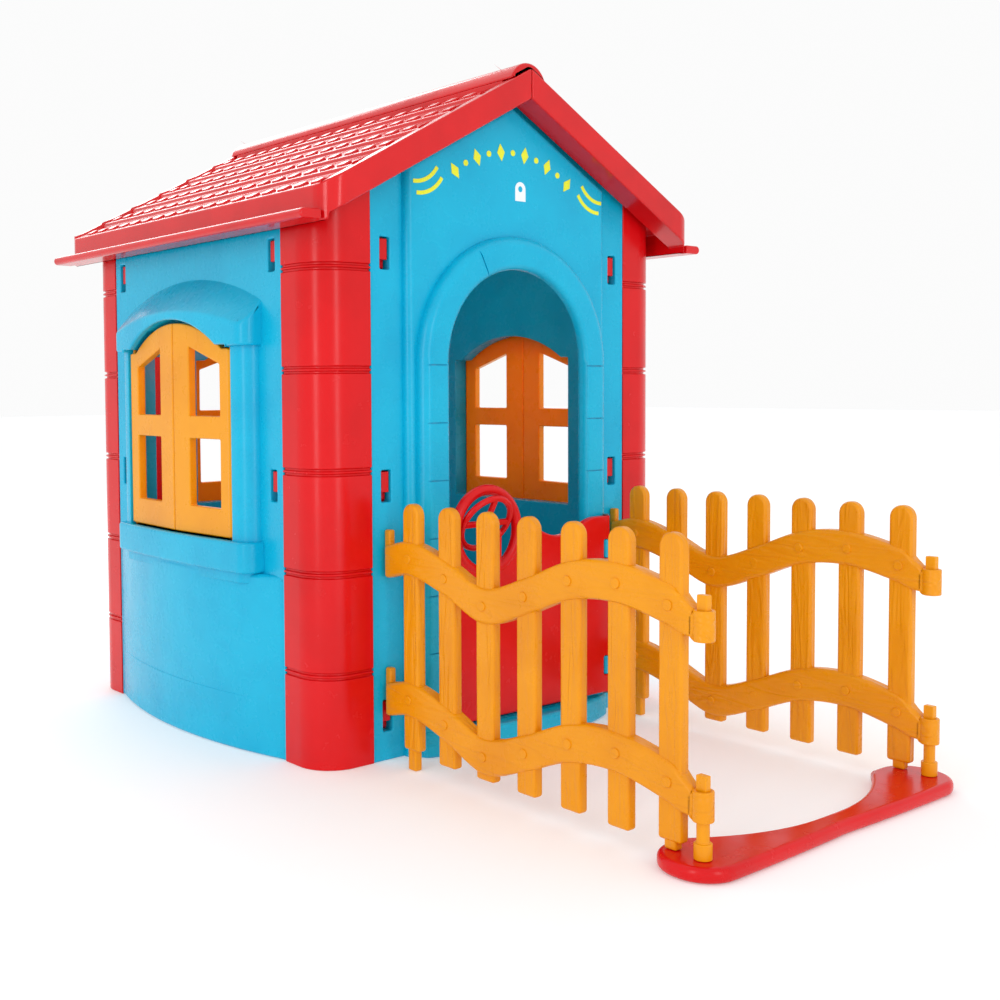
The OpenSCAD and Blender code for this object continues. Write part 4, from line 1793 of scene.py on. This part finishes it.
@dataclass
class GateSill:
    """The red sill that joins the fence ends: two broad lobes and a narrow waist."""

    frame: dict
    house_y: float
    half: float = 0.350
    front: float = -1.240
    lobe: float = 0.128
    waist: float = 0.046
    tall: float = 0.024
    corner: float = 0.060

    def depth(self, x: float) -> float:
        """Returns how deep the sill is at a place along it."""
        t = min(max(abs(x) - 0.015, 0.0) / 0.245, 1.0)
        return self.waist + (self.lobe - self.waist) * t**2.2

    def build(self) -> None:
        """Makes the sill."""
        end, r = self.half - self.corner, self.corner
        back = self.front + self.lobe
        bow = [(x / 100, self.front + 0.006 * (1 - abs(x) / 26) ** 2) for x in range(-26, 27, 2)]
        outline = [
            *bow,
            *turn_points((end, self.front + r), r, -90, 0, 10),
            *turn_points((end, back - r), r, 0, 90, 10),
            *((x / 100, self.front + self.depth(x / 100)) for x in range(26, -27, -2)),
            *turn_points((-end, back - r), r, 90, 180, 10),
            *turn_points((-end, self.front + r), r, 180, 270, 10),
        ]
        sill = slab(outline, 0.0, self.tall, Plane.XY, "gate_sill_skin")
        Bench.soften(sill, 0.0095, 5, 50)
        sill.matrix_world = Matrix.Translation((0, self.house_y, 0))
        Bench.settle(sill)
        dress(sill, POST_RED)
        Piece(self.frame, "gate_sill", POST_RED).place(sill)


class Yard:
    """The two fences, their pins and the gate sill."""

    def __init__(self, frame: dict, house_y: float) -> None:
        """Keeps the frame and the place of the house."""
        self.frame = frame
        self.house_y = house_y

    def build(self) -> None:
        """Makes every piece of the yard in order."""
        frame = self.frame
        for side, sign in (("left", -1), ("right", 1)):
            Fence(frame, self.house_y, side, sign).build()
            Piece(frame, f"fence_pin_{side}", PIN_YELLOW, 1.5 * MM).make()
            Piece(frame, f"gate_post_{side}", PIN_YELLOW, 1.5 * MM).make()
        GateSill(frame, self.house_y).build()


# ---------------------------------------------------------------- studio


@dataclass
class Studio:
    """Camera, floor and soft lights."""

    house_y: float
    sensor: float = 36.0
    lens: float = 45.572
    shift: tuple[float, float] = (0.0976, -0.0507)
    eye: Point = (-1.7477, -2.3241, 0.7017)
    heading: float = 51.59
    down: float = 2.81
    roll: float = 0.39

    def camera(self) -> None:
        """Makes the camera at the known viewing angle."""
        yaw, pitch, roll = (math.radians(v) for v in (self.heading, self.down, self.roll))
        ahead = Vector(
            (math.cos(yaw) * math.cos(pitch), math.sin(yaw) * math.cos(pitch), -math.sin(pitch))
        )
        right = Vector((math.sin(yaw), -math.cos(yaw), 0.0))
        right = Matrix.Rotation(roll, 3, ahead) @ right
        up = right.cross(ahead)
        data = bpy.data.cameras.new("viewpoint")
        data.sensor_width, data.lens = self.sensor, self.lens
        data.shift_x, data.shift_y = self.shift
        data.clip_start, data.clip_end = 0.05, 60.0
        camera = bpy.data.objects.new("viewpoint", data)
        bpy.context.scene.collection.objects.link(camera)
        turn = Matrix((right, up, -ahead)).transposed().to_4x4()
        eye = Vector((self.eye[0], self.eye[1] + self.house_y, self.eye[2]))
        camera.matrix_world = Matrix.Translation(eye) @ turn
        bpy.context.scene.camera = camera

    def floor(self) -> None:
        """Makes the plain pale floor."""
        Bench.clear()
        bpy.ops.mesh.primitive_plane_add(size=60.0, location=(0, 0, -0.0005))
        floor = Bench.settle(bpy.context.active_object)
        floor.name = "studio_floor"
        paint = bpy.data.materials.new("pale_floor")
        paint.use_nodes = True
        shader = paint.node_tree.nodes["Principled BSDF"]
        shader.inputs["Base Color"].default_value = linear("#e9eaeb")
        shader.inputs["Roughness"].default_value = 0.9
        shader.inputs["Emission Color"].default_value = (1.0, 1.0, 1.0, 1.0)
        shader.inputs["Emission Strength"].default_value = 0.2
        floor.data.materials.append(paint)

    def lamp(
        self, name: str, place: Point, size: tuple[float, float], power: float
    ) -> bpy.types.Object:
        """Adds one soft box aimed at the middle of the set.

        Args:
            name: The lamp's name.
            place: Where it stands, in metres.
            size: Its width and height, in metres.
            power: Its power in watts.

        Returns:
            The lamp.
        """
        data = bpy.data.lights.new(name, "AREA")
        data.shape, data.size, data.size_y, data.energy = "RECTANGLE", size[0], size[1], power
        lamp = bpy.data.objects.new(name, data)
        bpy.context.scene.collection.objects.link(lamp)
        lamp.location = place
        aim = Vector((0.0, 0.0, 0.6)) - Vector(place)
        lamp.rotation_euler = aim.to_track_quat("-Z", "Y").to_euler()
        lamp.visible_camera = False
        return lamp

    def light(self) -> None:
        """Sets the world and the soft boxes."""
        world = bpy.data.worlds.new("studio_air")
        bpy.context.scene.world = world
        world.use_nodes = True
        air = world.node_tree.nodes["Background"]
        air.inputs["Color"].default_value = (1.0, 1.0, 1.0, 1.0)
        air.inputs["Strength"].default_value = 0.97
        self.lamp("key_left", (-4.8, -1.6, 1.5), (0.8, 3.4), 38)
        self.lamp("key_front", (-1.05, -4.9, 1.5), (0.8, 3.4), 34)
        self.lamp("top", (0.0, 1.5, 4.5), (3.0, 3.0), 10)
        inside = self.lamp("under_roof", (0.0, self.house_y, 1.12), (0.5, 0.8), 1.2)
        inside.rotation_euler = (0.0, 0.0, 0.0)
        self.lamp("roof_glare", (1.2, self.house_y + 4.2, 3.46), (2.6, 2.2), 70)
        warm = self.lamp("warm_inside", (0.0, self.house_y - 0.34, 0.86), (0.5, 0.2), 2.4)
        warm.rotation_euler = Vector((0.0, 0.8, -0.22)).to_track_quat("-Z", "Y").to_euler()
        warm.data.color = (1.0, 0.06, 0.01)

    def build(self) -> None:
        """Makes the camera, the floor and the lights."""
        self.camera()
        self.floor()
        self.light()


def main() -> None:
    """Builds the looks."""
    logging.basicConfig(level=logging.INFO, format="%(name)s: %(message)s")
    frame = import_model()
    low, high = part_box("left_wall")
    house_y = (low.y + high.y) / 2
    Studio(house_y).build()
    Playhouse(frame, house_y).build()
    Yard(frame, house_y).build()
    bpy.context.scene.view_settings.view_transform = "Standard"


if __name__ == "__main__":
    main()
